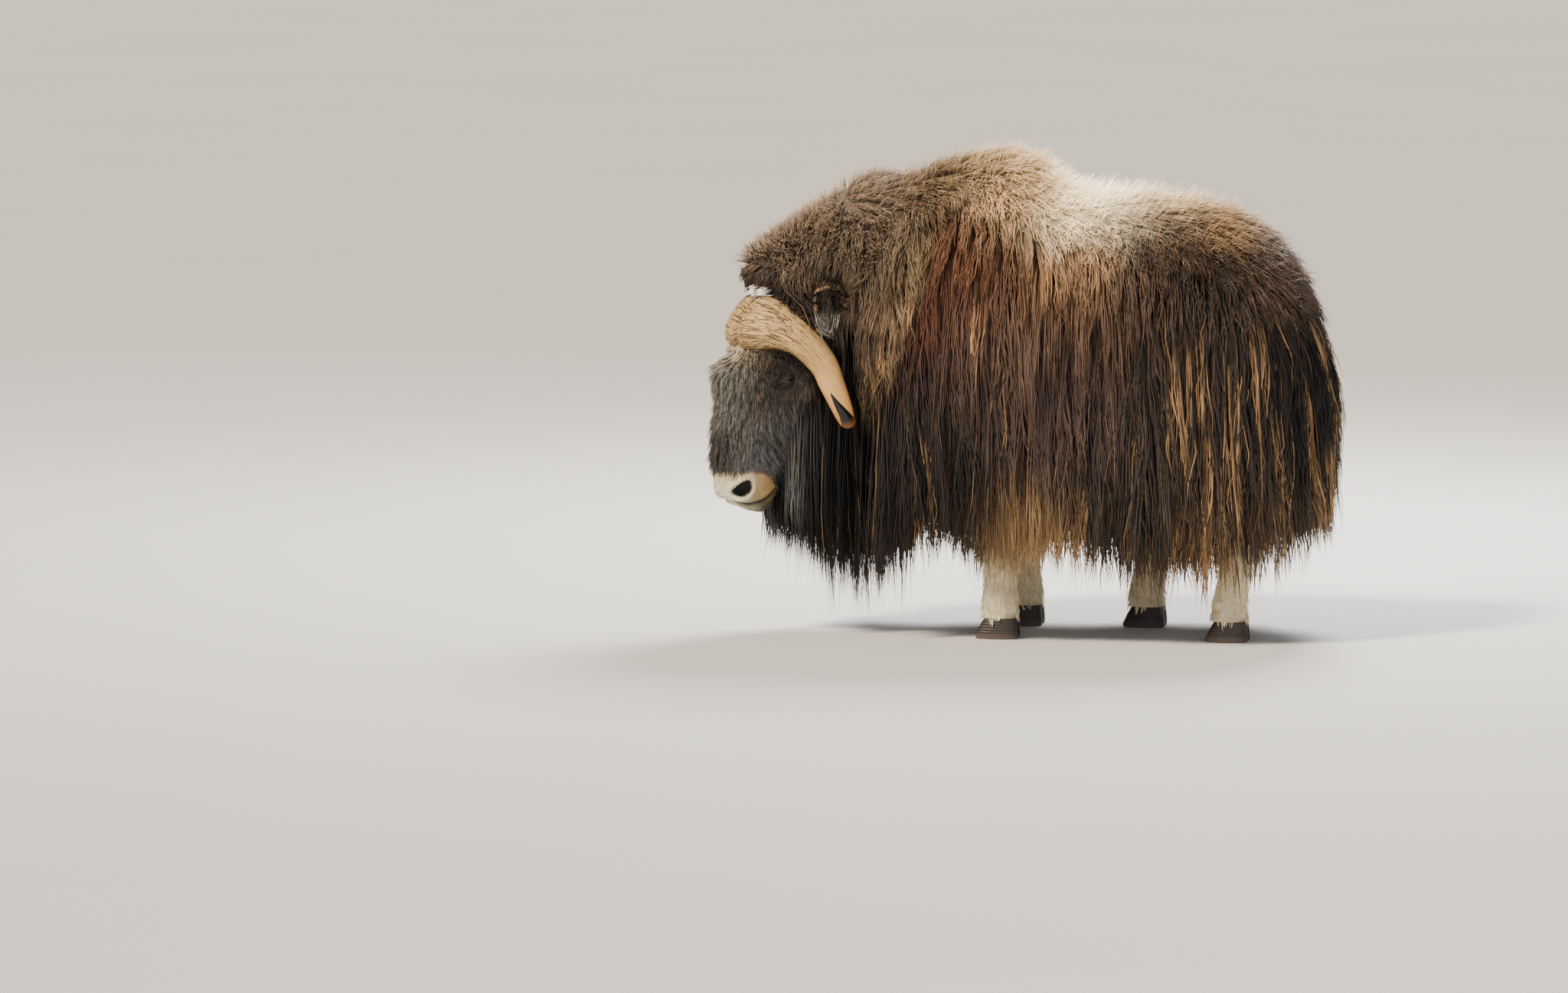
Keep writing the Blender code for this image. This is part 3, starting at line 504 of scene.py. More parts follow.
@dataclass
class Ear:
    """An ear: a curved cup that opens forwards and stands out of the mane behind the horn."""

    side: Side
    build: tuple = (
        (-0.15, 0.020, 0.018, 0.014), (0.15, 0.030, 0.026, 0.009), (0.42, 0.044, 0.032, 0.006),
        (0.68, 0.046, 0.030, 0.006), (0.88, 0.034, 0.020, 0.005), (1.0, 0.014, 0.008, 0.004),
    )
    rows: int = 30

    def axes(self) -> tuple[Array, Array, Array, Array]:
        """The root, the tip, the direction that the cup opens to and the direction across it."""
        sign = self.side.value
        root, tip = at_head(-0.180, 0.008, sign * 0.200), at_head(-0.274, 0.088, sign * 0.276)
        axis = unit(tip - root)
        opening = NOSEWARD * 0.50 + DORSAL * 0.30 + LEFT * sign * 0.81
        opening = unit(opening - axis * dot(opening, axis))
        return root, tip, opening, np.cross(axis, opening)

    def form(self) -> Form:
        """The ear's surface, its outer wall first and then its inner one."""
        root, tip, opening, across = self.axes()
        table = np.array(self.build)
        outer = np.radians(np.linspace(-90, 90, 17))
        inner = np.radians(np.linspace(80, -80, 15))
        rings = []
        for t in np.linspace(0, len(table) - 1, self.rows):
            share, wide, deep, thick = catmull(table, t)
            centre = root + (tip - root) * share - opening * (0.010 * math.sin(math.pi * share))
            wall = np.outer(np.sin(outer) * wide, across) - np.outer(np.cos(outer) * deep, opening)
            lining = np.outer(np.sin(inner) * (wide - thick * 0.6), across)
            lining = lining - np.outer(np.cos(inner) * (deep - thick), opening)
            rings.append(centre + np.concatenate([wall, lining]))
        return Form(f"ear_{self.side.name.lower()}", np.array(rings))


# ------------------------------------------------------------------ markings


@dataclass(frozen=True)
class Patch:
    """One named patch of the coat's markings: where it is, how far it reaches and its colour."""

    name: str
    place: tuple[float, ...]
    reach: float
    colour: str


@dataclass
class Markings:
    """The colours of the animal, the same for skin and coat, worked out from where a hair grows."""

    trunk: tuple[Patch, ...] = (
        Patch("hump back", (-0.02, 1.33), 0.08, "bfa078"),
        Patch("rust shoulder", (-0.13, 1.05), 0.080, "633d28"),
        Patch("rust edge", (-0.22, 0.93), 0.060, "5e3826"),
        Patch("rust low", (-0.24, 0.80), 0.060, "43302a"),
        Patch("shoulder", (-0.04, 0.88), 0.090, "5f483a"),
        Patch("shoulder low", (-0.18, 0.62), 0.13, "2a2522"),
        Patch("shoulder skirt", (-0.12, 0.38), 0.11, "2c241f"),
        Patch("skirt light", (0.08, 0.38), 0.075, "a8875f"),
        Patch("saddle front", (0.06, 1.23), 0.055, "cfae7d"),
        Patch("saddle", (0.26, 1.26), 0.10, "fff0cf"),
        Patch("saddle edge", (0.15, 1.07), 0.055, "a97c50"),
        Patch("saddle flank", (0.27, 1.07), 0.050, "9c7148"),
        Patch("flank top", (0.22, 0.94), 0.070, "614734"),
        Patch("flank", (0.14, 0.74), 0.12, "54423a"),
        Patch("flank low", (0.34, 0.50), 0.10, "38302b"),
        Patch("saddle rear", (0.45, 1.25), 0.060, "d6b98f"),
        Patch("saddle front low", (0.17, 1.18), 0.045, "fff0cc"),
        Patch("rust top", (0.04, 1.08), 0.055, "52301e"),
        Patch("rump front", (0.43, 1.12), 0.065, "442c1c"),
        Patch("rump front low", (0.43, 1.03), 0.050, "4a3528"),
        Patch("flank back", (0.35, 0.96), 0.055, "4f3b2e"),
        Patch("rump crest", (0.64, 1.20), 0.060, "a98659"),
        Patch("rump side", (0.58, 1.04), 0.080, "2c2119"),
        Patch("rump back", (0.78, 1.06), 0.080, "4d3d31"),
        Patch("hip", (0.52, 0.86), 0.09, "41342b"),
        Patch("thigh", (0.58, 0.62), 0.14, "3b312a"),
        Patch("thigh skirt", (0.62, 0.34), 0.12, "44372c"),
        Patch("rear", (0.87, 0.70), 0.12, "120f0d"),
    )
    mane: tuple[Patch, ...] = (
        Patch("mane top", (-0.62, 1.10), 0.08, "85705c"),
        Patch("mane front", (-0.64, 0.95), 0.05, "30271f"),
        Patch("neck crest", (-0.42, 1.22), 0.10, "836e58"),
        Patch("hump top", (-0.10, 1.36), 0.09, "86704f"),
        Patch("hump side", (-0.20, 1.20), 0.08, "6a563f"),
        Patch("mane side", (-0.50, 1.03), 0.08, "332a22"),
        Patch("mane middle", (-0.40, 0.98), 0.06, "5a4a39"),
        Patch("mane edge", (-0.30, 0.92), 0.030, "94775a"),
        Patch("mane edge high", (-0.24, 1.08), 0.035, "7d694b"),
        Patch("mane foot", (-0.345, 0.78), 0.028, "8d7254"),
        Patch("mane foot low", (-0.362, 0.68), 0.026, "7b6449"),
        Patch("mane low", (-0.42, 0.78), 0.045, "312a23"),
        Patch("mane low front", (-0.43, 0.68), 0.050, "171411"),
        Patch("behind the ear", (-0.50, 0.82), 0.06, "3d342c"),
        # Painted shade: throat and throat skirt are near black, partly dark hair and partly the shade under the head
        # and neck.
        Patch("throat", (-0.50, 0.60), 0.10, "0b0a09"),
        Patch("throat skirt", (-0.45, 0.35), 0.14, "120f0e"),
    )
    head: tuple[Patch, ...] = (
        Patch("poll", (-0.21, 0.13, 0.06), 0.06, "43372e"),
        Patch("ear side", (-0.20, 0.0, 0.15), 0.07, "28211c"),
        # Painted shadow: the near-black patch under the horn stands for the horn's shadow cast on the side of the head,
        # over dark hair.
        Patch("under the horn", (-0.06, -0.08, 0.15), 0.07, "1b1816"),
        Patch("forehead", (-0.03, 0.115, 0.0), 0.040, "e2d4b6"),
        Patch("forehead side", (-0.03, 0.10, 0.07), 0.035, "6f5d48"),
        # Painted shade: the near-black brow and eye patches darken the hair round the eye for the brow's shadow over
        # it.
        Patch("brow", (-0.03, 0.05, 0.12), 0.03, "1d150f"),
        Patch("eye", (0.0, 0.0, 0.125), 0.026, "1a1512"),
        Patch("bridge", (0.06, 0.12, 0.03), 0.05, "6b675f"),
        Patch("below the eye", (0.06, 0.0, 0.12), 0.04, "443a30"),
        Patch("nose", (0.15, 0.07, 0.04), 0.05, "64605a"),
        Patch("nose end", (0.23, 0.05, 0.02), 0.03, "35312d"),
        # Painted sheen: cheek and cheek front are a light neutral grey for the sheen of their dark grey hair in the
        # sun.
        Patch("cheek", (0.10, -0.08, 0.11), 0.05, "6f6d69"),
        # Painted shade: jaw and jaw below are near black, partly dark hair and partly the shade under the head.
        Patch("jaw", (0.12, -0.16, 0.07), 0.06, "0c0b0a"),
        Patch("behind the eye", (0.0, -0.05, 0.14), 0.03, "7d6d5f"),
        Patch("cheek front", (0.20, -0.13, 0.10), 0.035, "6f706e"),
        Patch("jaw below", (0.18, -0.20, 0.03), 0.045, "100f0e"),
    )
    nose: tuple[Patch, ...] = (
        Patch("nose top", (0.300, -0.020, 0.03), 0.020, "d8c79d"),
        Patch("upper lip", (0.335, -0.050, 0.0), 0.030, "cfcba9"),
        Patch("nose side", (0.280, -0.090, 0.07), 0.024, "cdb27c"),
        Patch("cheek side", (0.265, -0.140, 0.075), 0.020, "b8945c"),
        # Painted shade: the lower lip and chin are darker than the upper lip, for the shade under the overhanging upper
        # lip.
        Patch("lower lip", (0.335, -0.130, 0.03), 0.020, "8f8c6c"),
        Patch("chin", (0.300, -0.185, 0.05), 0.030, "37351f"),
    )
    rim: str = "70452c"
    # Painted highlight: the near-white ring on the nose wings round each nostril.
    nostril_highlight: str = "f4f0de"
    muzzle: "Muzzle | None" = None

    def face(self, local: Array, whole: bool) -> Array:
        """The head's colours: the face's, and past a rust-brown rim the muzzle's, if the whole head is asked."""
        face, nose = self.blend(local, self.head), self.blend(local, self.nose)
        if not whole:
            return face
        past = muzzle_line(local)
        colour = face + (nose - face) * ease(past, -0.004, 0.004)[..., None]
        share = 0.75 * np.exp(-(((past + 0.001) / 0.0055) ** 2))
        return colour + (np.array(linear(self.rim)) - colour) * share[..., None]

    @staticmethod
    def blend(places: Array, patches: tuple[Patch, ...]) -> Array:
        """Blends the patches at places given in the patches' own coordinates."""
        colours = np.array([linear(p.colour) for p in patches])
        centres = np.array([p.place for p in patches])
        reach = np.array([p.reach for p in patches])
        gap = np.linalg.norm(places[..., None, :] - centres, axis=-1) / reach
        weight = np.exp(-0.5 * gap ** 2) + 0.02 / (1.0 + gap ** 4)
        return (weight[..., None] * colours).sum(-2) / weight.sum(-1)[..., None]

    def at(self, points: Array, whole: bool = True) -> Array:
        """The coat's colour at places.

        Args:
            points: Places in the animal's own frame, xyz last.
            whole: Whether the muzzle is coloured too, and not only the long hair.

        Returns:
            Linear colours.
        """
        shaken = points + 0.022 * np.stack([ripple(points, 0.11, 3), ripple(points, 0.12, 4),
                                            ripple(points, 0.10, 5)], -1)
        trunk = self.blend(shaken[..., [0, 2]], self.trunk)
        mane = self.blend(shaken[..., [0, 2]], self.mane)
        soft = 0.010 + 0.12 * (1 - mane_height(points))
        trunk = trunk + (mane - trunk) * ease(mane_edge(points) / soft, 1, -1)[..., None]
        local = head_frame(points + (shaken - points) * 0.3)
        local[..., 2] = np.abs(local[..., 2])
        head = self.face(local, whole)
        low_neck = ease(local[..., 1], -0.32, -0.20)
        share = ease(local[..., 0], -0.275, -0.215) * low_neck * ease(points[..., 0], -0.45, -0.56)
        if whole and self.muzzle is not None:
            # Painted highlight: a near-white ring on the nose wings round each nostril.
            # Painted shade: near black in the nostrils, on their rims and along the mouth line.
            for code, amount in ((self.nostril_highlight, 0.55 * self.muzzle.pale(points)), ("070605", self.muzzle.dark(points))):
                head = head + (np.array(linear(code)) - head) * amount[..., None]
        return trunk + (head - trunk) * share[..., None]

    def hair(self, points: Array) -> Array:
        """The colour of the head's long hair, also where it hangs past the muzzle."""
        return self.at(points, whole=False)

    def before_edge(self, points: Array) -> Array:
        """The colour of the mane's hair, kept past the mane's edge."""
        moved = points.copy()
        moved[..., 0] -= np.clip(mane_edge(points) + 0.014, 0, None)
        return self.at(moved)

    def behind_edge(self, points: Array) -> Array:
        """The colour of the flanks' hair, kept up to the mane's edge."""
        moved = points.copy()
        moved[..., 0] += np.clip(0.014 - mane_edge(points), 0, None) * mane_height(points)
        return self.at(moved)

    @staticmethod
    def leg(points: Array) -> Array:
        """The colour of the legs: dark in the coat, cream from the knee down."""
        dark, cream, warm = (np.array(linear(c)) for c in ("2c221b", "f2e2bd", "c4a468"))
        share = ease(points[..., 2] + 0.02 * ripple(points, 0.06, 8), 0.36, 0.22)[..., None]
        pale = cream + (warm - cream) * ease(ripple(points, 0.05, 9), 0.0, 1.0)[..., None] * 0.5
        return dark + (pale - dark) * share


# ------------------------------------------------------------------ hair


@dataclass(frozen=True)
class Hair:
    """The build of the tufts of one kind of hair."""

    width: float
    steps: int
    lift: tuple[float, float]
    frizz: float
    wave: float
    pinch: float
    thickness: float = 0.40
    ragged: tuple[float, float] = (0.6, 1.0)
    tone: tuple[float, float] = (0.78, 1.22)
    pale: float = 0.03
    tips: float = 0.0
    grouped: float = 9.0
    limp: bool = False
    sink: float = 0.006
    # How much of the painted root shade is spared: the strand's first value starts here.
    root: float = 0.0


class Kind(Enum):
    """The kinds of hair on the animal."""

    CREST = Hair(0.0046, 4, (0.16, 0.42), 0.014, 0.060, 0.35, tips=0.40)
    WOOL = Hair(0.0054, 4, (0.16, 0.38), 0.014, 0.045, 0.35, tone=(0.88, 1.14), tips=0.30)
    FUZZ = Hair(0.0024, 2, (0.7, 1.3), 0.014, 0.050, 0.20, tone=(1.1, 1.6), tips=0.40, grouped=3.0, root=0.5)
    SKIRT = Hair(0.0061, 6, (0.02, 0.15), 0.016, 0.170, 0.36, ragged=(0.74, 1.05), tips=0.08, limp=True)
    UNDER = Hair(0.0120, 4, (0.00, 0.08), 0.014, 0.180, 0.30, limp=True)
    BEARD = Hair(0.0048, 5, (0.02, 0.18), 0.012, 0.160, 0.35, ragged=(0.74, 1.05), pale=0.004, limp=True)
    FACE = Hair(0.0026, 3, (0.16, 0.50), 0.0070, 0.045, 0.45, tone=(0.70, 1.45), pale=0.0, tips=0.35, grouped=7.0,
                sink=0.002, root=0.1)
    POLL = Hair(0.0038, 4, (0.25, 0.60), 0.010, 0.045, 0.35, sink=0.003)
    LOCK = Hair(0.0036, 3, (0.35, 0.90), 0.013, 0.045, 0.22, tips=0.40, grouped=3.0)
    MUZZLE = Hair(0.0019, 2, (0.12, 0.26), 0.0006, 0.010, 0.20, tone=(0.95, 1.05), grouped=4.0, sink=0.0008, root=0.7)
    FOOT = Hair(0.0034, 3, (0.14, 0.32), 0.0040, 0.035, 0.40, tone=(0.88, 1.12), grouped=7.0, sink=0.002, root=0.3)


@dataclass
class Comb:
    """Lays hair over the body: backwards on top, down on the sides, clear of the horns and ears."""

    body: Form
    clear_of: list[Form] = field(default_factory=list)
    clearance: float = 0.006

    def __post_init__(self) -> None:
        """Makes the search trees and the run of directions from nose to tail."""
        self.tree = self.body.tree()
        self.solid = [form.tree() for form in self.clear_of]
        self.middles = self.body.points.mean(axis=1)[::3]
        self.tailward = -unit(np.gradient(self.middles, axis=0))

    def normals_near(self, points: Array) -> Array:
        """The body's outward direction nearest to each point."""
        return np.array([self.tree.find_nearest(Vector(p))[1] for p in points]).reshape(-1, 3)

    def backward(self, points: Array) -> Array:
        """The direction from nose to tail near each point."""
        gap = np.linalg.norm(points[:, None] - self.middles[None], axis=-1)
        return self.tailward[gap.argmin(axis=1)]

    def lie(self, points: Array, normals: Array, limp: bool) -> Array:
        """The way hair lies at places on the body; limp hair hangs straight off its under side."""
        back = self.backward(points)
        high = np.clip(normals[:, 2:], 0, 1)
        ahead = np.clip(-dot(DOWN, back), 0, None)[:, None]
        down = DOWN + back * ahead * (0.3 + 0.7 * high)
        pull = down * (1 - high ** 4) + back * (0.03 + 0.74 * high ** 2.5)
        flat = unit(pull - normals * dot(pull, normals)[:, None])
        return np.where(normals[:, 2:] < 0, DOWN, flat) if limp else flat

    def pushed(self, points: Array) -> Array:
        """Points moved out of the horns and ears."""
        points = points.copy()
        for tree in self.solid:
            for i, point in enumerate(points):
                place, normal, _, gap = tree.find_nearest(Vector(point), 0.08)
                if place is None:
                    continue
                if (Vector(point) - place).dot(normal) < 0 or gap < self.clearance:
                    points[i] = np.array(place + normal * self.clearance)
        return points

    def paths(self, roots: Roots, length: Array, hair: "Hair", rng: np.random.Generator,
              toward: Array | None = None) -> tuple[Array, Array]:
        """Follows guide hairs from their roots.

        Args:
            roots: Where they grow.
            length: How long each is.
            hair: The kind of hair.
            rng: The source of chance.
            toward: A direction that the hair starts in, where it isn't the body's own lie.

        Returns:
            The points of each path and the outward direction at them.
        """
        count, steps = len(roots), hair.steps
        lift = rng.uniform(*hair.lift, count)
        point, normal = roots.place - roots.normal * hair.sink, roots.normal
        points, outward = [point], [normal]
        turn, sway = rng.uniform(0, math.tau, count), rng.uniform(0.03, 0.15, count)
        stride = (length / steps)[:, None]
        for step in range(1, steps + 1):
            found = self.normals_near(point) if step > 1 else normal
            hanging = (found[:, 2:] < 0) & hair.limp
            level = found * (1, 1, 0)
            found = np.where(hanging, unit(outward[-1] + level * 0.3), found)
            lie = self.lie(point, found, hair.limp)
            rise = np.where(hanging[:, 0], np.minimum(lift, 0.05), lift)
            if toward is not None:
                share = max(0.0, 1 - (step - 1) / steps) ** 0.7
                lie = unit(lie * (1 - share) + toward * share + DOWN * 0.25 * (1 - share))
            across = np.cross(found, lie)
            bend = (sway * np.sin(turn + 2.4 * step / steps))[:, None]
            point = point + unit(lie + across * bend + found * rise[:, None]) * stride
            if self.solid:
                point = self.pushed(point)
            points.append(point)
            outward.append(found)
        return np.stack(points, 1), np.stack(outward, 1)


@dataclass
class Tufts:
    """Tufts that wait to be made a piece: their middle lines, outward directions and looks."""

    paths: Array
    outward: Array
    width: Array
    hair: Hair
    spot: Array
    tint: Array
    tone: Array
    pale: Array

    def faces_each(self) -> int:
        """How many triangles one tuft takes."""
        return 6 * (self.paths.shape[1] - 2) + 4

    def pick(self, chosen: Array) -> "Tufts":
        """Some of the tufts."""
        return Tufts(self.paths[chosen], self.outward[chosen], self.width[chosen], self.hair,
                     self.spot[chosen], self.tint[chosen], self.tone[chosen], self.pale[chosen])

    def shortened(self, reach: Array) -> "Tufts":
        """The tufts cut to a share of their lengths."""
        rings = self.paths.shape[1]
        at = np.linspace(0, rings - 1, rings)[None] * reach[:, None]
        return Tufts(resampled(self.paths, at), resampled(self.outward, at), self.width, self.hair,
                     self.spot, resampled(self.tint, at), self.tone, self.pale)

    def piece(self, name: str, finish: bpy.types.Material) -> bpy.types.Object:
        """Makes one mesh object of all the tufts, each a closed thin lock of three sides.

        Args:
            name: The piece's name.
            finish: Its material.

        Returns:
            The new object.
        """
        count, rings = self.paths.shape[:2]
        solid = rings - 1
        ahead = unit(np.gradient(self.paths, axis=1))
        across = unit(np.cross(self.outward, ahead))
        out = unit(np.cross(ahead, across))
        share = np.linspace(0, 1, rings)
        taper = np.where(share < 0.18, 0.55 + 2.5 * share, 1 - 0.80 * ((share - 0.18) / 0.82) ** 1.6)
        half = across * (self.width[:, None] * taper / 2)[..., None]
        thick = out * (self.width[:, None] * taper * self.hair.thickness)[..., None]
        body = np.stack([self.paths - half, self.paths + half, self.paths + thick], 2)[:, :solid]
        points = np.concatenate([body.reshape(count, -1, 3), self.paths[:, -1:]], 1)
        each = points.shape[1]
        tris = [(0, 2, 1)]
        for k in range(solid - 1):
            a, b = 3 * k, 3 * k + 3
            for i in range(3):
                j = (i + 1) % 3
                tris += [(a + i, a + j, b + j), (a + i, b + j, b + i)]
        last, tip = 3 * (solid - 1), 3 * solid
        tris += [(last + i, last + (i + 1) % 3, tip) for i in range(3)]
        tris = np.array(tris)
        if dot(np.cross(points[0, tris[1, 1]] - points[0, tris[1, 0]],
                        points[0, tris[1, 2]] - points[0, tris[1, 0]]),
               points[0, tris[1]].mean(0) - body[0, :2].mean((0, 1))) < 0:
            tris = tris[:, ::-1]
        loops = (tris[None] + (np.arange(count) * each)[:, None, None]).reshape(-1)
        mesh = bpy.data.meshes.new(name)
        mesh.vertices.add(count * each)
        mesh.vertices.foreach_set("co", points.astype(np.float32).ravel())
        mesh.loops.add(len(loops))
        mesh.loops.foreach_set("vertex_index", loops.astype(np.int32))
        mesh.polygons.add(len(loops) // 3)
        mesh.polygons.foreach_set("loop_start", np.arange(0, len(loops), 3, dtype=np.int32))
        mesh.polygons.foreach_set("use_smooth", np.ones(len(loops) // 3, bool))
        mesh.update(calc_edges=True)
        along = np.concatenate([np.repeat(share[:solid], 3), [1.0]])
        corner = np.concatenate([np.tile((0.0, 1.0, 0.5), solid), [0.5]])
        place = self.spot[:, None] + np.stack([corner, along], -1)[None] * PATCH
        layer = mesh.uv_layers.new(name=BAKE_MAP)
        layer.uv.foreach_set("vector", place.reshape(-1, 2)[loops].astype(np.float32).ravel())
        tint = np.concatenate([np.repeat(self.tint[:, :solid], 3, axis=1), self.tint[:, -1:]], 1)
        strand = np.empty((count, each, 3))
        # The first value drives the painted shade towards the root.
        strand[..., 0] = self.hair.root + (1 - self.hair.root) * along
        strand[..., 1] = self.tone[:, None] * (1 + 1.5 * self.hair.tips * along[None] ** 2)
        strand[..., 2] = self.pale[:, None]
        run = np.linalg.norm(np.diff(self.paths, axis=1), axis=-1).sum(1)
        line = np.empty((count, each, 3))
        line[..., 0] = corner
        line[..., 1] = along[None] * run[:, None]
        line[..., 2] = np.arange(count)[:, None] % 997
        write_colours(mesh, tint.reshape(-1, 3), strand.reshape(-1, 3), line.reshape(-1, 3))
        made = bpy.data.objects.new(name, mesh)
        bpy.context.scene.collection.objects.link(made)
        mesh.materials.append(finish)
        return made


def write_colours(mesh: bpy.types.Mesh, tint: Array, strand: Array,
                  line: Array | None = None) -> None:
    """Stores a colour and the strand's own values on every vertex.

    Args:
        mesh: The mesh.
        tint: Linear colours.
        strand: How far along the hair, how light (on the skin, its painted shade) and how bleached it is.
        line: How far across the tuft, how far along it in metres and the tuft's number.
    """
    layer = mesh.attributes.new("tint", "FLOAT_COLOR", "POINT")
    full = np.concatenate([tint, np.ones((len(tint), 1))], 1)
    layer.data.foreach_set("color", full.astype(np.float32).ravel())
    for name, values in (("strand", strand), ("line", line)):
        if values is not None:
            layer = mesh.attributes.new(name, "FLOAT_VECTOR", "POINT")
            layer.data.foreach_set("vector", values.astype(np.float32).ravel())


@dataclass
class Groom:
    """Grows tufts in groups that draw together towards their tips."""

    comb: Comb
    markings: Markings
    shift: Array
    seed: int = 20

    def grow(self, kind: Kind, form: Form, density: Callable, length: Callable, bleach: Callable | None = None,
             toward: Callable | None = None, keep: Callable | None = None,
             colour: Callable | None = None) -> Tufts | None:
        """Grows one kind of hair on a form.

        Args:
            kind: The kind of hair.
            form: What it is rooted in.
            density: Roots per square metre, from places and normals.
            length: The length of hair, from places and normals.
            bleach: How likely a group is to be bleached, from places.
            toward: The direction that the hair starts in, from places and normals.
            keep: Which roots are kept, from places.
            colour: The colour at places, where it isn't the markings'.

        Returns:
            The tufts, or none where nothing grows.
        """
        hair = kind.value
        self.seed += 1
        rng = np.random.default_rng(self.seed)
        roots = form.scatter(rng, density)
        if keep is not None and len(roots):
            roots = roots.pick(keep(roots.place))
        if len(roots) < 4:
            return None
        leaders = rng.choice(len(roots), max(2, int(len(roots) / hair.grouped)), replace=False)
        lead = roots.pick(leaders)
        reach = length(lead.place, lead.normal) * rng.uniform(0.85, 1.08, len(lead))
        start = toward(lead.place, lead.normal) if toward is not None else None
        ways, out = self.comb.paths(lead, reach, hair, rng, start)
        search = KDTree(len(lead))
        for i, place in enumerate(lead.place):
            search.insert(Vector(place), i)
        search.balance()
        group = np.array([search.find(Vector(p))[1] for p in roots.place])
        return self.gathered(hair, roots, ways[group], out[group], group, rng, bleach, colour)

    def gathered(self, hair: Hair, roots: Roots, ways: Array, out: Array, group: Array,
                 rng: np.random.Generator, bleach: Callable | None, colour: Callable | None) -> Tufts:
        """Bends each tuft from its own root towards its group's guide, with its own waves."""
        count, rings = len(roots), hair.steps + 1
        share = np.linspace(0, 1, rings)
        reach = rng.uniform(*hair.ragged, count) ** 0.8
        at = share[None] * reach[:, None] * (rings - 1)
        middle, outward = resampled(ways, at), unit(resampled(out, at))
        offset = (roots.place - roots.normal * hair.sink - ways[:, 0])[:, None]
        path = middle + offset * (1 - hair.pinch * share ** 1.2)[None, :, None]
        ahead = unit(np.gradient(path, axis=1))
        across = unit(np.cross(outward, ahead))
        run = (np.linalg.norm(np.diff(path, axis=1), axis=-1).sum(1)[:, None] * share[None])
        for direction, amount in ((across, 1.0), (outward, 0.6)):
            phase = rng.uniform(0, math.tau, (count, 1))
            size = hair.wave * rng.uniform(0.7, 1.5, (count, 1))
            swing = hair.frizz * amount * rng.uniform(-1, 1, (count, 1)) * share[None] ** 0.8
            path = path + direction * (swing * np.sin(phase + run * math.tau / size))[..., None]
            path = path + direction * (rng.normal(0, 0.35 * hair.frizz, (count, 1)) * share[None] ** 1.3)[..., None]
        tint = (colour or self.markings.at)(path * 0.8 + path[:, :1] * 0.2)
        groups = group.max() + 1
        light = rng.uniform(0.90, 1.10, groups)[group] * rng.uniform(*hair.tone, count)
        chance = hair.pale if bleach is None else bleach(path[:, rings // 2])
        pale = (rng.random(groups)[group] < chance) * rng.uniform(0.25, 1.0, count)
        pale = np.maximum(pale, (rng.random(count) < 0.06) * rng.uniform(0.1, 0.4, count))
        over = np.abs(path[..., 1]) - HELD_FROM
        held = over - HELD_WITHIN * np.tanh(over / HELD_WITHIN)
        path[..., 1] -= np.sign(path[..., 1]) * np.where(over > 0, held, 0)
        width = hair.width * rng.uniform(0.7, 1.3, count)
        return Tufts(path + self.shift, outward, width, hair, roots.spot, tint, light, pale)


# ------------------------------------------------------------------ finishes


def add_node(tree: bpy.types.NodeTree, kind: str, settings: dict | None = None,
             inputs: dict | None = None) -> bpy.types.Node:
    """Adds a node.

    Args:
        tree: The node tree.
        kind: The node's type.
        settings: Its properties by name.
        inputs: Its sockets by name or number, each a value or the socket that feeds it.

    Returns:
        The node.
    """
    node = tree.nodes.new(kind)
    for name, value in (settings or {}).items():
        setattr(node, name, value)
    for name, value in (inputs or {}).items():
        if isinstance(value, bpy.types.NodeSocket):
            tree.links.new(value, node.inputs[name])
        else:
            node.inputs[name].default_value = value
    return node


def new_finish(name: str) -> tuple[bpy.types.Material, bpy.types.NodeTree, bpy.types.Node]:
    """A material with its tree and its Principled shader."""
    made = bpy.data.materials.new(name)
    made.use_nodes = True
    return made, made.node_tree, made.node_tree.nodes["Principled BSDF"]


def ramp(tree: bpy.types.NodeTree, source: bpy.types.NodeSocket, stops: list[tuple[float, tuple]]) -> bpy.types.Node:
    """A colour ramp fed by a socket, with stops of place and linear colour."""
    node = add_node(tree, "ShaderNodeValToRGB", None, {0: source})
    line = node.color_ramp
    while len(line.elements) < len(stops):
        line.elements.new(0.5)
    for element, (place, colour) in zip(line.elements, stops):
        element.position = place
        element.color = (*colour, 1.0)
    return node


def mapped(tree: bpy.types.NodeTree, source: bpy.types.NodeSocket, *limits: float) -> bpy.types.NodeSocket:
    """Carries a value from the range between the first two limits to that between the last two."""
    return add_node(tree, "ShaderNodeMapRange", None, dict(enumerate((source, *limits)))).outputs[0]


def times(tree: bpy.types.NodeTree, first: bpy.types.NodeSocket, second: bpy.types.NodeSocket,
          clamp: bool = False) -> bpy.types.NodeSocket:
    """The product of two values."""
    settings = {"operation": "MULTIPLY", "use_clamp": clamp}
    return add_node(tree, "ShaderNodeMath", settings, {0: first, 1: second}).outputs[0]


def scaled(tree: bpy.types.NodeTree, colour: bpy.types.NodeSocket,
           factor: bpy.types.NodeSocket | float) -> bpy.types.NodeSocket:
    """A colour made lighter or darker."""
    return add_node(tree, "ShaderNodeVectorMath", {"operation": "SCALE"}, {0: colour, "Scale": factor}).outputs[0]


def mixed(tree: bpy.types.NodeTree, share: bpy.types.NodeSocket | float, first: object,
          second: object) -> bpy.types.NodeSocket:
    """A blend of two colours, each a socket or four numbers."""
    return add_node(tree, "ShaderNodeMix", {"data_type": "RGBA"}, {0: share, 6: first, 7: second}).outputs[2]


def roughen(tree: bpy.types.NodeTree, shader: bpy.types.Node, height: bpy.types.NodeSocket, strength: float,
            depth: float, sunk: bool = False) -> None:
    """Raises a finish where a value is high, or sinks it there, by a depth in metres."""
    bump = add_node(tree, "ShaderNodeBump", {"invert": sunk}, {
        "Strength": strength, "Distance": depth, "Height": height})
    tree.links.new(bump.outputs[0], shader.inputs["Normal"])


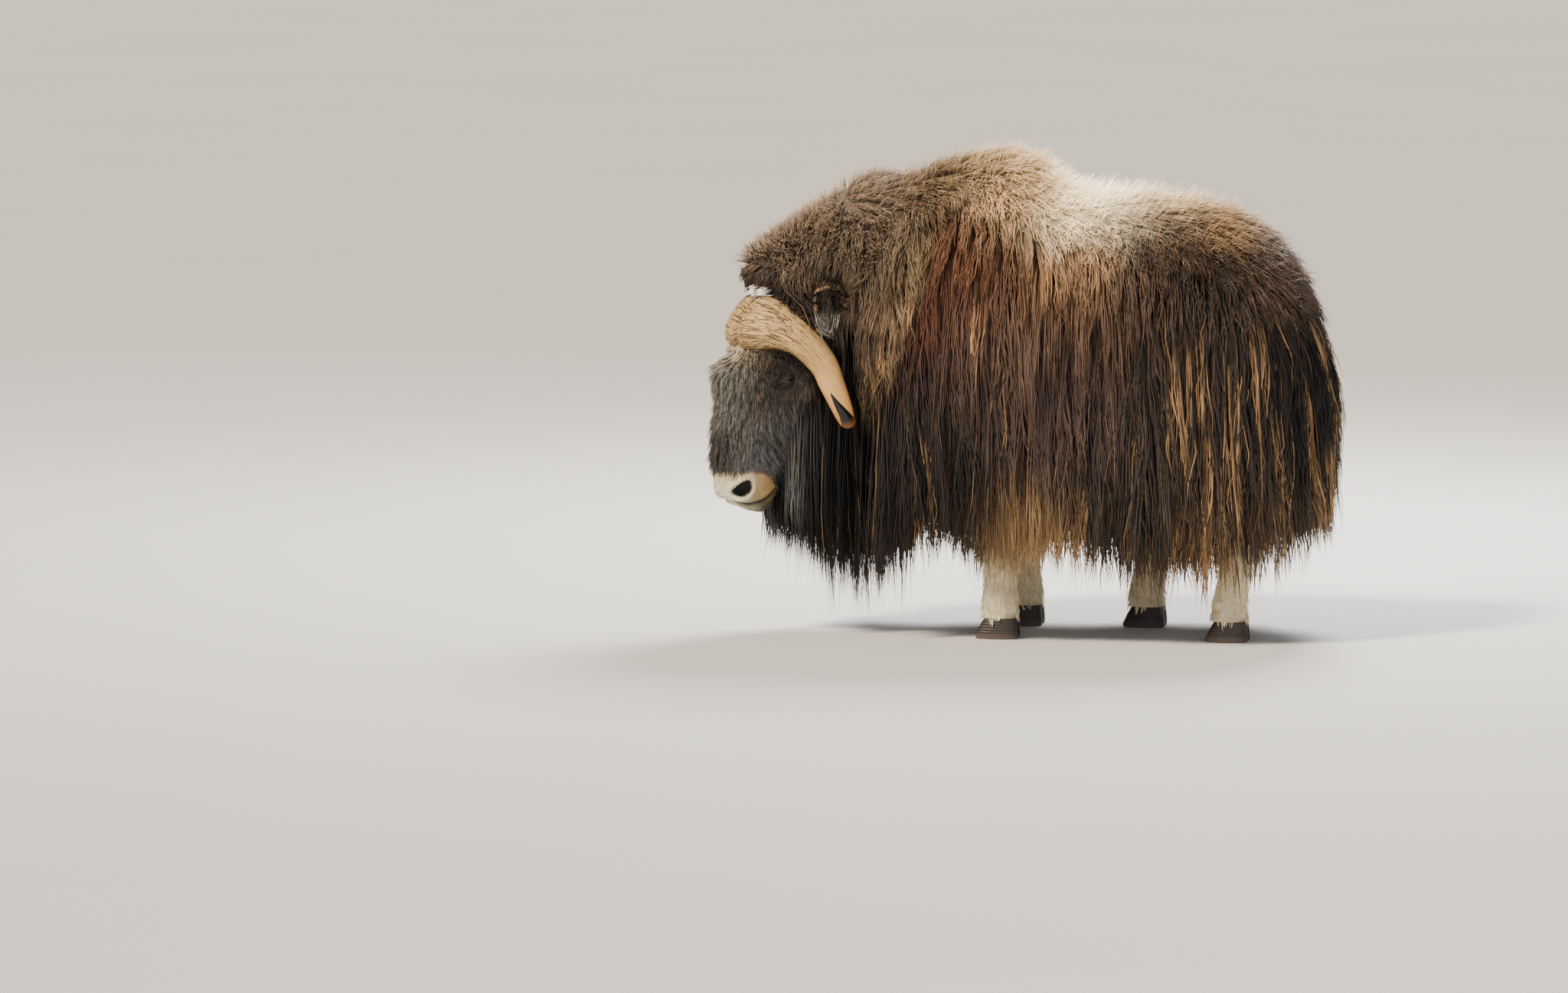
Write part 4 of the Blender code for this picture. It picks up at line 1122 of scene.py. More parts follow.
@dataclass(frozen=True)
class CoatFinish:
    """Keratin hair: each tuft shows its single strands, darkened at the root by painted shade and bleached at the tip.
    """

    name: str = "guard hair"
    bleached: str = "d0a06a"
    roughness: float = 0.50
    gloss: float = 0.30

    def make(self) -> bpy.types.Material:
        """Builds the material."""
        made, tree, shader = new_finish(self.name)
        tint, strand, line = (add_node(tree, "ShaderNodeAttribute", {"attribute_name": name})
                              for name in ("tint", "strand", "line"))
        parts = add_node(tree, "ShaderNodeSeparateXYZ", None, {0: strand.outputs["Vector"]})
        # Most tufts are 3 to 6 mm wide, and five strands across one make each about 1 mm, the finest that shows.
        lengthwise = add_node(tree, "ShaderNodeVectorMath", {"operation": "MULTIPLY"}, {
            0: line.outputs["Vector"], 1: (5.5, 9.0, 3.7)})
        strands = add_node(tree, "ShaderNodeTexNoise", None, {
            "Vector": lengthwise.outputs[0], "Scale": 1.0, "Detail": 1.0, "Roughness": 0.6}).outputs[0]
        light = mapped(tree, strands, 0.30, 0.70, 0.50, 1.50)
        # Sun and wear bleach single strands, most at the tip, and the root stays in the dark of the coat.
        worn = mapped(tree, strands, 0.38, 0.62, 0.15, 1.3)
        share = times(tree, parts.outputs["Z"], worn, clamp=True)
        warm = mixed(tree, 0.45, (*linear(self.bleached), 1.0), tint.outputs["Color"])
        bleach = mixed(tree, share, tint.outputs["Color"], scaled(tree, warm, 1.25))
        # Painted shade: each strand is darkened towards its root, to 0.45 there, where the coat shades it.
        along = mapped(tree, parts.outputs["X"], 0.0, 0.8, 0.45, 1.2)
        level = times(tree, times(tree, along, parts.outputs["Y"]), light)
        tree.links.new(scaled(tree, bleach, level), shader.inputs["Base Color"])
        shader.inputs["Roughness"].default_value = self.roughness
        shader.inputs["Specular IOR Level"].default_value = self.gloss
        return made


@dataclass(frozen=True)
class SkinFinish:
    """Hide under the coat: the coat's colours, darkened by painted shade, with a fine leathery grain."""

    name: str = "hide"
    roughness: float = 0.78
    grain: float = 0.0008

    def make(self) -> bpy.types.Material:
        """Builds the material."""
        made, tree, shader = new_finish(self.name)
        tint, strand = (add_node(tree, "ShaderNodeAttribute", {"attribute_name": name})
                        for name in ("tint", "strand"))
        parts = add_node(tree, "ShaderNodeSeparateXYZ", None, {0: strand.outputs["Vector"]})
        where = add_node(tree, "ShaderNodeTexCoord").outputs["Object"]
        # Pores and creases of bovine hide, about 2.5 mm apart.
        grain = add_node(tree, "ShaderNodeTexVoronoi", None, {"Vector": where, "Scale": 380.0})
        mottle = add_node(tree, "ShaderNodeTexNoise", None, {"Vector": where, "Scale": 60.0, "Detail": 3.0})
        # Painted shade: the colour is dimmed by the strand's second value, the skin's painted shade under the coat.
        level = times(tree, mapped(tree, mottle.outputs[0], 0.3, 0.7, 0.85, 1.12), parts.outputs["Y"])
        tree.links.new(scaled(tree, tint.outputs["Color"], level), shader.inputs["Base Color"])
        roughen(tree, shader, grain.outputs["Distance"], 0.4, self.grain)
        shader.inputs["Roughness"].default_value = self.roughness
        return made


@dataclass(frozen=True)
class HornFinish:
    """Horn keratin: a weathered, cracked boss, a smooth amber shaft and a black tip."""

    name: str = "horn keratin"
    crack: str = "4a3018"
    crack_depth: float = 0.002
    run: tuple = ((0.0, "b2925f"), (0.10, "c9a56e"), (0.30, "dfb070"), (0.60, "d59a58"), (0.72, "a8713f"),
                  (0.785, "1a130e"), (1.0, "080605"))

    def make(self) -> bpy.types.Material:
        """Builds the material."""
        made, tree, shader = new_finish(self.name)
        horn_map = add_node(tree, "ShaderNodeUVMap", {"uv_map": HORN_MAP})
        along = add_node(tree, "ShaderNodeSeparateXYZ", None, {0: horn_map.outputs[0]}).outputs["Y"]
        # The growth lines run along the horn, 4 to 8 mm apart round the boss, and split where it dries.
        crossed = []
        for around, far, detail in ((34.0, 5.0, 3.0), (62.0, 11.0, 2.0)):
            stretched = add_node(tree, "ShaderNodeMapping", None, {0: horn_map.outputs[0], "Scale": (around, far, 1.0)})
            wander = add_node(tree, "ShaderNodeTexNoise", None, {
                "Vector": stretched.outputs[0], "Scale": 1.0, "Detail": detail, "Roughness": 0.55, "Distortion": 0.5})
            middle = add_node(tree, "ShaderNodeMath", {"operation": "SUBTRACT"}, {0: wander.outputs[0], 1: 0.5})
            close = add_node(tree, "ShaderNodeMath", {"operation": "ABSOLUTE"}, {0: middle.outputs[0]})
            crossed.append(mapped(tree, close.outputs[0], 0.006, 0.030, 1.0, 0.0))
        either = add_node(tree, "ShaderNodeMath", {"operation": "MAXIMUM"}, dict(enumerate(crossed)))
        cracks = times(tree, either.outputs[0], mapped(tree, along, 0.24, 0.42, 1.0, 0.03))
        base = ramp(tree, along, [(place, linear(code)) for place, code in self.run])
        where = add_node(tree, "ShaderNodeTexCoord").outputs["Object"]
        cloud = add_node(tree, "ShaderNodeTexNoise", None, {"Vector": where, "Scale": 22.0, "Detail": 4.0})
        toned = scaled(tree, base.outputs[0], mapped(tree, cloud.outputs[0], 0.3, 0.7, 0.84, 1.12))
        split = mixed(tree, cracks, toned, (*linear(self.crack), 1.0))
        tree.links.new(split, shader.inputs["Base Color"])
        tree.links.new(mapped(tree, along, 0.2, 0.6, 0.72, 0.34), shader.inputs["Roughness"])
        roughen(tree, shader, cracks, 0.8, self.crack_depth, sunk=True)
        return made


@dataclass(frozen=True)
class EyeFinish:
    """A wet dark-brown eye with a long level pupil under a clear glossy cornea."""

    name: str = "glass eye"

    def make(self) -> bpy.types.Material:
        """Builds the material."""
        made, tree, shader = new_finish(self.name)
        where = add_node(tree, "ShaderNodeTexCoord")
        iris = add_node(tree, "ShaderNodeTexNoise", None, {
            "Vector": where.outputs["Object"], "Scale": 260.0, "Detail": 2.0})
        brown = ramp(tree, iris.outputs[0], [(0.3, linear("0a0605")), (0.7, linear("22150d"))])
        tree.links.new(brown.outputs[0], shader.inputs["Base Color"])
        shader.inputs["Roughness"].default_value = 0.06
        shader.inputs["Coat Weight"].default_value = 1.0
        shader.inputs["Coat Roughness"].default_value = 0.02
        return made


@dataclass(frozen=True)
class HoofFinish:
    """Hoof keratin: near black, worn paler at the ground, with level growth rings."""

    name: str = "hoof keratin"

    def make(self) -> bpy.types.Material:
        """Builds the material."""
        made, tree, shader = new_finish(self.name)
        where = add_node(tree, "ShaderNodeTexCoord").outputs["Object"]
        # Growth rings about 4 mm apart up the wall.
        rings = add_node(tree, "ShaderNodeTexWave", {"bands_direction": "Z"}, {
            "Vector": where, "Scale": 40.0, "Distortion": 2.5, "Detail": 2.0, "Detail Scale": 3.0})
        dark = ramp(tree, rings.outputs[1], [(0.0, linear("1e1815")), (1.0, linear("3c3029"))])
        height = add_node(tree, "ShaderNodeSeparateXYZ", None, {0: where})
        worn = mapped(tree, height.outputs["Z"], 0.0, 0.02, 0.5, 0.0)
        paler = mixed(tree, worn, dark.outputs[0], (*linear("7d6f5e"), 1.0))
        tree.links.new(paler, shader.inputs["Base Color"])
        roughen(tree, shader, rings.outputs[1], 0.5, 0.0015)
        shader.inputs["Roughness"].default_value = 0.48
        return made


@dataclass(frozen=True)
class FloorFinish:
    """A plain pale studio floor of matt paint."""

    name: str = "studio floor"
    colour: str = "dcdad5"

    def make(self) -> bpy.types.Material:
        """Builds the material."""
        made, tree, shader = new_finish(self.name)
        where = add_node(tree, "ShaderNodeTexCoord")
        cloud = add_node(tree, "ShaderNodeTexNoise", None, {"Vector": where.outputs["Object"], "Scale": 0.8})
        pale = ramp(tree, cloud.outputs[0], [
            (0.3, tuple(c * 0.98 for c in linear(self.colour))), (0.7, linear(self.colour))])
        tree.links.new(pale.outputs[0], shader.inputs["Base Color"])
        shader.inputs["Roughness"].default_value = 0.9
        return made


# ------------------------------------------------------------------ pieces


def deselect() -> None:
    """Leaves nothing selected."""
    bpy.ops.object.select_all(action="DESELECT")


def settle(made: bpy.types.Object) -> bpy.types.Object:
    """Applies a piece's place and turn to its mesh and leaves it unselected."""
    deselect()
    made.select_set(True)
    bpy.context.view_layer.objects.active = made
    bpy.ops.object.transform_apply(location=True, rotation=True, scale=True)
    made.select_set(False)
    return made


def mesh_piece(name: str, corners: Array, faces: list, finish: bpy.types.Material) -> bpy.types.Object:
    """An object of the given corners and faces, smooth and facing out."""
    mesh = bpy.data.meshes.new(name)
    mesh.from_pydata(corners.tolist(), [], faces)
    work = bmesh.new()
    work.from_mesh(mesh)
    bmesh.ops.recalc_face_normals(work, faces=work.faces)
    work.to_mesh(mesh)
    work.free()
    mesh.polygons.foreach_set("use_smooth", np.ones(len(mesh.polygons), bool))
    mesh.materials.append(finish)
    made = bpy.data.objects.new(name, mesh)
    bpy.context.scene.collection.objects.link(made)
    return made


@dataclass
class Skin:
    """The one hide over all the solids of flesh: body, legs, tail, ears and lids."""

    body: Form
    limbs: list[Form]
    ears: list[Form]
    markings: Markings
    shift: Array
    lid_gap: float = 0.0026

    def lids(self) -> list[tuple[Array, list]]:
        """The lids: a shell round each eye, parted along a narrow slanting slit."""
        made = []
        slant = unit(NOSEWARD * 0.81 + DORSAL * 0.59)
        for side in (1, -1):
            out = LEFT * side
            across = np.cross(out, slant)
            centre = at_head(0, 0, side * EYE_SIDE)
            rows, steps = 26, 40
            for half in (1, -1):
                grid = []
                for i in range(rows):
                    lift = i / (rows - 1)
                    row = []
                    for j in range(steps):
                        turn = math.pi * (j / (steps - 1) - 0.5)
                        edge = self.lid_gap * math.cos(turn) ** 0.7 + 0.0004
                        sweep = math.asin(min(1.0, edge / 0.026)) + lift * (math.pi * 0.5)
                        radius = 0.0245 + 0.0018 * math.exp(-((lift - 0.06) / 0.07) ** 2)
                        wide = 1.22 - 0.10 * lift
                        row.append(centre + slant * radius * wide * math.sin(turn) * 1.02
                                   + out * radius * math.cos(turn) * math.cos(sweep)
                                   + across * half * radius * (math.cos(turn) * math.sin(sweep) + 0.12 * lift))
                    grid.append(row)
                outer = np.array(grid)
                inner = centre + (outer - centre) * 0.90
                corners = np.concatenate([outer.reshape(-1, 3), inner.reshape(-1, 3)])
                faces, back = [], rows * steps
                for i in range(rows - 1):
                    for j in range(steps - 1):
                        a, b, c, d = (i * steps + j, i * steps + j + 1, (i + 1) * steps + j + 1, (i + 1) * steps + j)
                        faces += [(a, b, c, d), (back + d, back + c, back + b, back + a)]
                rim = [i * steps for i in range(rows)] + [(rows - 1) * steps + j for j in range(1, steps)]
                rim += [i * steps + steps - 1 for i in range(rows - 2, -1, -1)] + list(range(steps - 2, 0, -1))
                for a, b in zip(rim, rim[1:] + rim[:1]):
                    faces.append((a, b, back + b, back + a))
                made.append((corners, faces))
        return made

    def tail(self) -> Form:
        """The short tail, hidden in the coat of the rump."""
        build = np.array(((0.990, 0.778, 0.016, 0.020), (0.950, 0.810, 0.020, 0.026),
                          (0.905, 0.830, 0.018, 0.026), (0.868, 0.842, 0.012, 0.018), (0.852, 0.846, 0.002, 0.003)))
        turn = np.linspace(0, math.tau, 20, endpoint=False)
        rings = []
        for t in np.linspace(0, 4, 17):
            z, x, long, wide = catmull(build, t)
            rings.append(np.stack([x + long * np.cos(turn), wide * np.sin(turn), np.full(20, z)], -1))
        return Form("tail", np.array(rings))

    def piece(self, finish: bpy.types.Material) -> bpy.types.Object:
        """Makes the skin as one object with the markings written on it."""
        corners, faces, tint, light = [], [], [], []
        count = 0
        parts = [(f.corners(), f.polygons(), f.name) for f in (self.body, *self.limbs, self.tail(), *self.ears)]
        parts += [(c, f, "lid") for c, f in self.lids()]
        for points, polygons, name in parts:
            corners.append(points)
            faces += [tuple(i + count for i in face) for face in polygons]
            count += len(points)
            if name.startswith("leg"):
                tint.append(self.markings.leg(points))
            elif name == "lid":
                tint.append(np.tile(linear("2b2119"), (len(points), 1)))
            else:
                tint.append(self.markings.at(points))
            light.append(self.coat_shade(points, name))
        made = mesh_piece("skin", np.concatenate(corners) + self.shift, faces, finish)
        shade = np.concatenate(light)
        strand = np.stack([np.full_like(shade, 0.5), shade, np.zeros_like(shade)], -1)
        write_colours(made.data, np.concatenate(tint), strand)
        return made

    @staticmethod
    def coat_shade(points: Array, name: str) -> Array:
        """Painted shade of the skin: full light on the bare muzzle, dimmed where the coat would shade it."""
        if name != "body":
            return np.full(len(points), 0.8 if name.startswith("leg") else 0.55)
        local = head_frame(points)
        muzzle = ease(local[:, 0], 0.225, 0.250) * ease(points[:, 0], -0.60, -0.66)
        return 0.55 + 0.45 * muzzle


@dataclass
class Horn:
    """A horn: the broad boss by the mid-line, the sweep down past the cheek and the tip turned up."""

    side: Side
    build: tuple = (
        (-0.113, 0.105, 0.004, 0.082, 0.050), (-0.115, 0.105, 0.050, 0.082, 0.050),
        (-0.125, 0.080, 0.102, 0.068, 0.045), (-0.120, 0.020, 0.146, 0.050, 0.036),
        (-0.092, -0.055, 0.176, 0.040, 0.032), (-0.055, -0.100, 0.195, 0.036, 0.030),
        (-0.020, -0.138, 0.216, 0.031, 0.027), (0.010, -0.165, 0.240, 0.026, 0.024),
        (0.022, -0.168, 0.264, 0.020, 0.019), (0.014, -0.138, 0.280, 0.014, 0.014),
        (0.002, -0.100, 0.288, 0.008, 0.008), (-0.013, -0.066, 0.292, 0.0012, 0.0012),
    )
    around: int = 72
    rows: int = 190

    def form(self) -> Form:
        """The horn's surface, the boss roughened by growth ridges."""
        table = np.array(self.build)
        sign = self.side.value
        centres = np.array([at_head(a, f, sign * s) for a, f, s, _, _ in self.build])
        last = len(table) - 1
        flat, rings = DORSAL.copy(), []
        turn = np.linspace(0, math.tau, self.around, endpoint=False)
        for t in np.linspace(0, last, self.rows):
            ahead = catmull(centres, min(t + 0.1, last)) - catmull(centres, max(t - 0.1, 0))
            ahead = LEFT * sign if t < 1 else unit(ahead)
            flat = unit(flat - ahead * dot(flat, ahead))
            broad = np.cross(ahead, flat)
            breadth, thick = catmull(table, t)[3:]
            crown = 1 - 0.16 * ease(t, 0.35, 0.0)
            rough = 1 - ease(t, 1.8, 4.0)
            ridge = np.sin(turn * 31 + 2.0 * np.sin(t * 2.1 + turn * 3) + 0.9 * np.sin(t * 6.3 + turn * 7))
            swell = 1 + rough * (0.013 * ridge + 0.010 * np.sin(turn * 11 + 3 * np.sin(t * 1.7)))
            rings.append(catmull(centres, t)
                         + np.outer(breadth * crown * swell * bent(np.cos(turn), 0.85), broad)
                         + np.outer(thick * crown * swell * bent(np.sin(turn), 0.85), flat))
        return Form(f"horn_{self.side.name.lower()}", np.array(rings))

    def piece(self, shift: Array, finish: bpy.types.Material) -> bpy.types.Object:
        """Makes the horn with a map that runs round it and along it."""
        form = self.form()
        made = mesh_piece(form.name + "_keratin", form.corners() + shift, form.polygons(), finish)
        rows, steps = form.points.shape[:2]
        index = np.array([loop.vertex_index for loop in made.data.loops])
        row, step = np.divmod(index, steps)
        row = np.where(index >= rows * steps, np.where(index == rows * steps, 0, rows - 1), row)
        place = np.stack([step / steps, row / (rows - 1)], -1)
        place[:, 0] = self.unwrapped(place[:, 0], made.data)
        layer = made.data.uv_layers.new(name=HORN_MAP)
        layer.uv.foreach_set("vector", place.astype(np.float32).ravel())
        return made

    @staticmethod
    def unwrapped(around: Array, mesh: bpy.types.Mesh) -> Array:
        """Closes the map's seam, so that no face runs back across it."""
        around = around.copy()
        for face in mesh.polygons:
            loops = list(face.loop_indices)
            if around[loops].max() - around[loops].min() > 0.5:
                for i in loops:
                    if around[i] < 0.5:
                        around[i] += 1.0
        return around


@dataclass
class Eye:
    """An eyeball with a slightly raised cornea."""

    side: Side

    def piece(self, shift: Array, finish: bpy.types.Material) -> bpy.types.Object:
        """Makes the eyeball."""
        centre = at_head(0, 0, self.side.value * EYE_SIDE) + shift
        deselect()
        bpy.ops.mesh.primitive_uv_sphere_add(segments=40, ring_count=24, radius=EYE_RADIUS, location=centre)
        made = bpy.context.object
        made.name = f"eyeball_{self.side.name.lower()}"
        out = Vector(LEFT * self.side.value)
        for vertex in made.data.vertices:
            facing = vertex.co.normalized().dot(out)
            if facing > 0.8:
                vertex.co += out * 0.0016 * ((facing - 0.8) / 0.2) ** 0.7
        bpy.ops.object.shade_smooth()
        made.data.materials.append(finish)
        return settle(made)


@dataclass
class Claw:
    """One claw of a hoof, flat below, its toe rounded and its wall leaning back."""

    name: str
    foot: tuple[float, float]
    offset: float
    length: float = 0.120
    half_width: float = 0.026
    height: float = 0.058

    def piece(self, shift: Array, finish: bpy.types.Material) -> bpy.types.Object:
        """Makes the claw from a cylinder, drawn to its section at each level."""
        middle = Vector((self.foot[0] - 0.006, self.foot[1] + self.offset, self.height / 2))
        deselect()
        bpy.ops.mesh.primitive_cylinder_add(vertices=36, radius=1.0, depth=self.height, location=(0, 0, 0))
        made = bpy.context.object
        made.name = self.name
        bpy.ops.object.mode_set(mode="EDIT")
        for height in (-0.027, -0.019, -0.006, 0.010, 0.023, 0.0275):
            bpy.ops.mesh.select_all(action="SELECT")
            bpy.ops.mesh.bisect(plane_co=(0, 0, height), plane_no=(0, 0, 1))
        bpy.ops.object.mode_set(mode="OBJECT")
        levels = (0.0, 0.0025, 0.010, 0.040, self.height)
        longs = (0.93, 0.98, 1.0, 0.86, 0.74)
        wides = (0.90, 0.97, 1.0, 0.92, 0.84)
        backs = (0.0, 0.0, 0.0, 0.006, 0.010)
        for vertex in made.data.vertices:
            z = vertex.co.z + self.height / 2
            long, wide, back = (float(np.interp(z, levels, row)) for row in (longs, wides, backs))
            c, s = vertex.co.x, vertex.co.y
            taper = 1.0 - 0.22 * max(0.0, -c)
            vertex.co.x = back + self.length / 2 * long * math.copysign(abs(c) ** 0.85, c)
            vertex.co.y = self.half_width * wide * taper * math.copysign(abs(s) ** 0.8, s)
        bpy.ops.object.shade_smooth_by_angle(angle=math.radians(50))
        made.data.materials.append(finish)
        made.location = middle + Vector(shift)
        return settle(made)


@dataclass(frozen=True)
class Cover:
    """How many tufts grow on a square metre of each part of the animal."""

    back: float = 15000
    saddle: float = 17000
    mane: float = 14500
    fold: float = 16000
    flank: float = 9450
    fuzz: float = 4300
    belly: float = 2200
    face: float = 30500
    muzzle: float = 62000
    beard: float = 17000
    poll: float = 32000
    poll_tuft: float = 60000
    brow: float = 60000
    forelock: float = 22000
    ear: float = 42000
    ear_inside: float = 16000
    ear_setting: float = 24000
    leg: float = 12500


@dataclass(frozen=True)
class Reach:
    """How long the hair is that has one length all over its part, in metres."""

    fuzz: float = 0.075
    fold: float = 0.16
    poll: float = 0.055
    poll_tuft: float = 0.050
    brow: float = 0.024
    forelock: float = 0.068
    ear: float = 0.014
    ear_inside: float = 0.062
    ear_setting: float = 0.030


COVER = Cover()
REACH = Reach()


def even(length: float) -> Callable[[Array, Array], Array]:
    """A length of hair that is the same at all places."""
    return lambda place, normal: np.full(len(place), length)


def plain(code: str) -> Callable[[Array], Array]:
    """A colour of hair that is the same at all places."""
    return lambda place: np.tile(linear(code), (*place.shape[:-1], 1))


@dataclass
class Coat:
    """All the hair: mane, saddle, skirt, beard, face, muzzle, ears and legs."""

    groom: Groom
    body: Form
    cut: int
    legs: list[Form]
    ears: list[tuple[Ear, Form]]
    horns: list[Form]
    finish: bpy.types.Material
    made: list[bpy.types.Object] = field(default_factory=list)

    def __post_init__(self) -> None:
        """Parts the body where the head begins."""
        self.trunk = Form("trunk", self.body.points[:self.cut + 1])
        self.head = Form("head", self.body.points[self.cut:])
        self.horn_trees = [form.tree() for form in self.horns]

    def add(self, name: str, tufts: Tufts | None, halves: bool = True, by_head: bool = False) -> None:
        """Makes a piece of tufts, one for each side where asked.

        Args:
            name: The piece's name.
            tufts: The tufts, if any grew.
            halves: Whether the two sides become two pieces.
            by_head: Whether they part at the turned head's own mid-line.
        """
        if tufts is None:
            return
        if halves:
            roots = tufts.paths[:, 0] - self.groom.shift
            middle = -head_frame(roots)[:, 2] if by_head else roots[:, 1]
            for side in Side:
                chosen = tufts.pick(-middle * side.value > 0)
                self.add(f"{name}_{side.name.lower()}", chosen, False)
            return
        count = len(tufts.width) * tufts.faces_each()
        LOG.info("%s: %d tufts, %d triangles", name, len(tufts.width), count)
        self.made.append(tufts.piece(name, self.finish))

    def windows(self) -> list[tuple[Array, Array, float]]:
        """What no hair hangs over: the ears, the eyes, the nostrils and the horns, each seen from its own side."""
        made = []
        for ear, _ in self.ears:
            side = ear.side.value
            root, tip, opening, _ = ear.axes()
            made.append((root + (tip - root) * 0.52, unit(opening * 0.3 + LEFT * side), 0.056))
            made.append((at_head(0, 0, side * (EYE_SIDE + 0.018)), LEFT * side, 0.010))
            made.append((at_head(-0.183, 0.142, side * 0.030), LEFT * side, 0.024))
            table = np.array(Horn(ear.side).build)
            for t in np.arange(3.5, 9.5, 0.5):
                along, forward, out, breadth, _ = catmull(table, t)
                made.append((at_head(along, forward, side * out), LEFT * side, breadth * (0.95 if t < 5 else 1.1)))
        return made

    def opened(self, tufts: Tufts) -> Tufts:
        """Cuts the tufts short of the windows and the floor, and leaves out those rooted in a window."""
        rings, finer = tufts.paths.shape[1], 5
        at = np.linspace(0, rings - 1, (rings - 1) * finer + 1)
        points = resampled(tufts.paths, np.tile(at, (len(tufts.paths), 1))) - self.groom.shift
        over = points[..., 2] + self.groom.shift[2] < FLOOR_CLEARANCE
        for middle, out, radius in self.windows():
            offset = points - middle
            deep = dot(offset, out)
            gap = np.linalg.norm(offset - out * deep[..., None], axis=-1)
            over |= (deep > -0.012) & (deep < 0.15) & (gap < radius)
        first = np.where(over.any(axis=1), over.argmax(axis=1), len(at))
        reach = np.clip((first - 1) / (len(at) - 1), 0.0, 1.0)
        return tufts.shortened(np.maximum(reach, 0.05)).pick(reach > 0.22)

    # The long coat of the trunk and neck.

    @staticmethod
    def side_share(normal: Array) -> Array:
        """0 on the back, 1 on the flanks and below."""
        return 1 - ease(normal[..., 2], -0.05, 0.80)

    @staticmethod
    def behind(place: Array) -> Array:
        """How much of the saddle's short wool a place has."""
        x, z = place[..., 0], place[..., 2]
        return ease(x, -0.02, 0.08) * ease(x, 0.62, 0.46) * ease(z, 0.98, 1.10)

    def skirt_length(self, place: Array, normal: Array) -> Array:
        """The length of hair on the trunk: short on the back, down to the hem on the flanks."""
        side = self.side_share(normal)
        drop = np.maximum((place[:, 2] - hem(place)) * (1 + 0.10 * ease(place[:, 0], -0.18, -0.30)), 0.12)
        crest = 0.13 * (1 - 0.30 * self.behind(place))
        return crest + (drop - crest) * side ** 1.7

    def streaked(self, place: Array) -> Array:
        """How likely a group of the flanks is to be bleached."""
        x, z = place[:, 0], place[:, 2]
        rear = ease(x, 0.34, 0.52) * ease(z, 1.10, 0.95)
        front = ease(x, -0.06, 0.04) * ease(x, 0.30, 0.18) * ease(z, 0.66, 0.42)
        band = ease(ripple(place * (1.0, 1.0, 0.12), 0.060, 22), -0.15, 0.45)
        return 0.02 * ease(x, -0.28, -0.14) + 0.80 * rear * band + 0.34 * front

    def trunk_coat(self) -> None:
        """Grows the back, the mane, the flanks and the belly."""

        def back(place: Array, normal: Array) -> Array:
            behind_mane = ease(mane_edge(place), -0.02, 0.02)
            return COVER.back * ease(normal[..., 2], 0.25, 0.50) * (1 - self.behind(place)) * behind_mane

        def saddle(place: Array, normal: Array) -> Array:
            return COVER.saddle * self.behind(place) * ease(normal[..., 2], 0.02, 0.30)

        def mane(place: Array, normal: Array) -> Array:
            low = ease(place[..., 2], 0.62, 0.76)
            return COVER.mane * ease(mane_edge(place), 0.012, -0.008) * low * ease(normal[..., 2], -0.35, -0.10)

        def flank(place: Array, normal: Array) -> Array:
            open_side = ease(normal[..., 2], 0.55, 0.35) * ease(normal[..., 2], -0.75, -0.35)
            mane_part = ease(mane_edge(place), 0.0, -0.03) * ease(place[..., 2], 0.64, 0.76)
            return COVER.flank * open_side * (1 - mane_part) * (1 - self.behind(place) * 0.8)

        def fuzz(place: Array, normal: Array) -> Array:
            return COVER.fuzz * ease(normal[..., 2], 0.35, 0.65)

        def belly(place: Array, normal: Array) -> Array:
            return COVER.belly * ease(normal[..., 2], -0.35, -0.75)

        grow, marks = self.groom.grow, self.groom.markings
        self.add("coat_back", grow(
            Kind.CREST, self.trunk, back,
            lambda p, n: np.minimum(self.skirt_length(p, n), 0.22 - 0.10 * ease(p[:, 0], 0.55, 0.75))))
        self.add("coat_saddle", grow(Kind.WOOL, self.trunk, saddle, self.skirt_length))
        self.add("coat_mane", self.opened(grow(
            Kind.CREST, self.trunk, mane, lambda p, n: 0.11 + 0.12 * self.side_share(n), colour=marks.before_edge)))
        whole = self.opened(grow(Kind.SKIRT, self.trunk, flank, self.skirt_length, bleach=self.streaked,
                                   colour=marks.behind_edge))
        x = whole.paths[:, 0, 0] - self.groom.shift[0]
        for name, low, high in (("shoulder", -9, -0.02), ("flank", -0.02, 0.42), ("rump", 0.42, 9)):
            self.add(f"coat_{name}", whole.pick((x >= low) & (x < high)))
        self.add("coat_fuzz", grow(
            Kind.FUZZ, self.trunk, fuzz, even(REACH.fuzz), toward=lambda p, n: unit(n + TAILWARD)))
        self.add("coat_belly", grow(
            Kind.UNDER, self.trunk, belly, lambda p, n: np.maximum(p[:, 2] - hem(p) - 0.02, 0.1)), halves=False)
        self.add("mane_fold", grow(
            Kind.CREST, self.trunk, self.fold, even(REACH.fold), colour=marks.before_edge,
            toward=lambda p, n: unit(DOWN * 0.95 + TAILWARD * 0.16 + n * 0.25)))

    @staticmethod
    def fold(place: Array, normal: Array) -> Array:
        """Where the mane's free edge falls over the shoulder."""
        edge = mane_edge(place)
        return COVER.fold * ease(edge, -0.060, -0.025) * ease(edge, 0.006, -0.006) * mane_height(place)

    # The head.

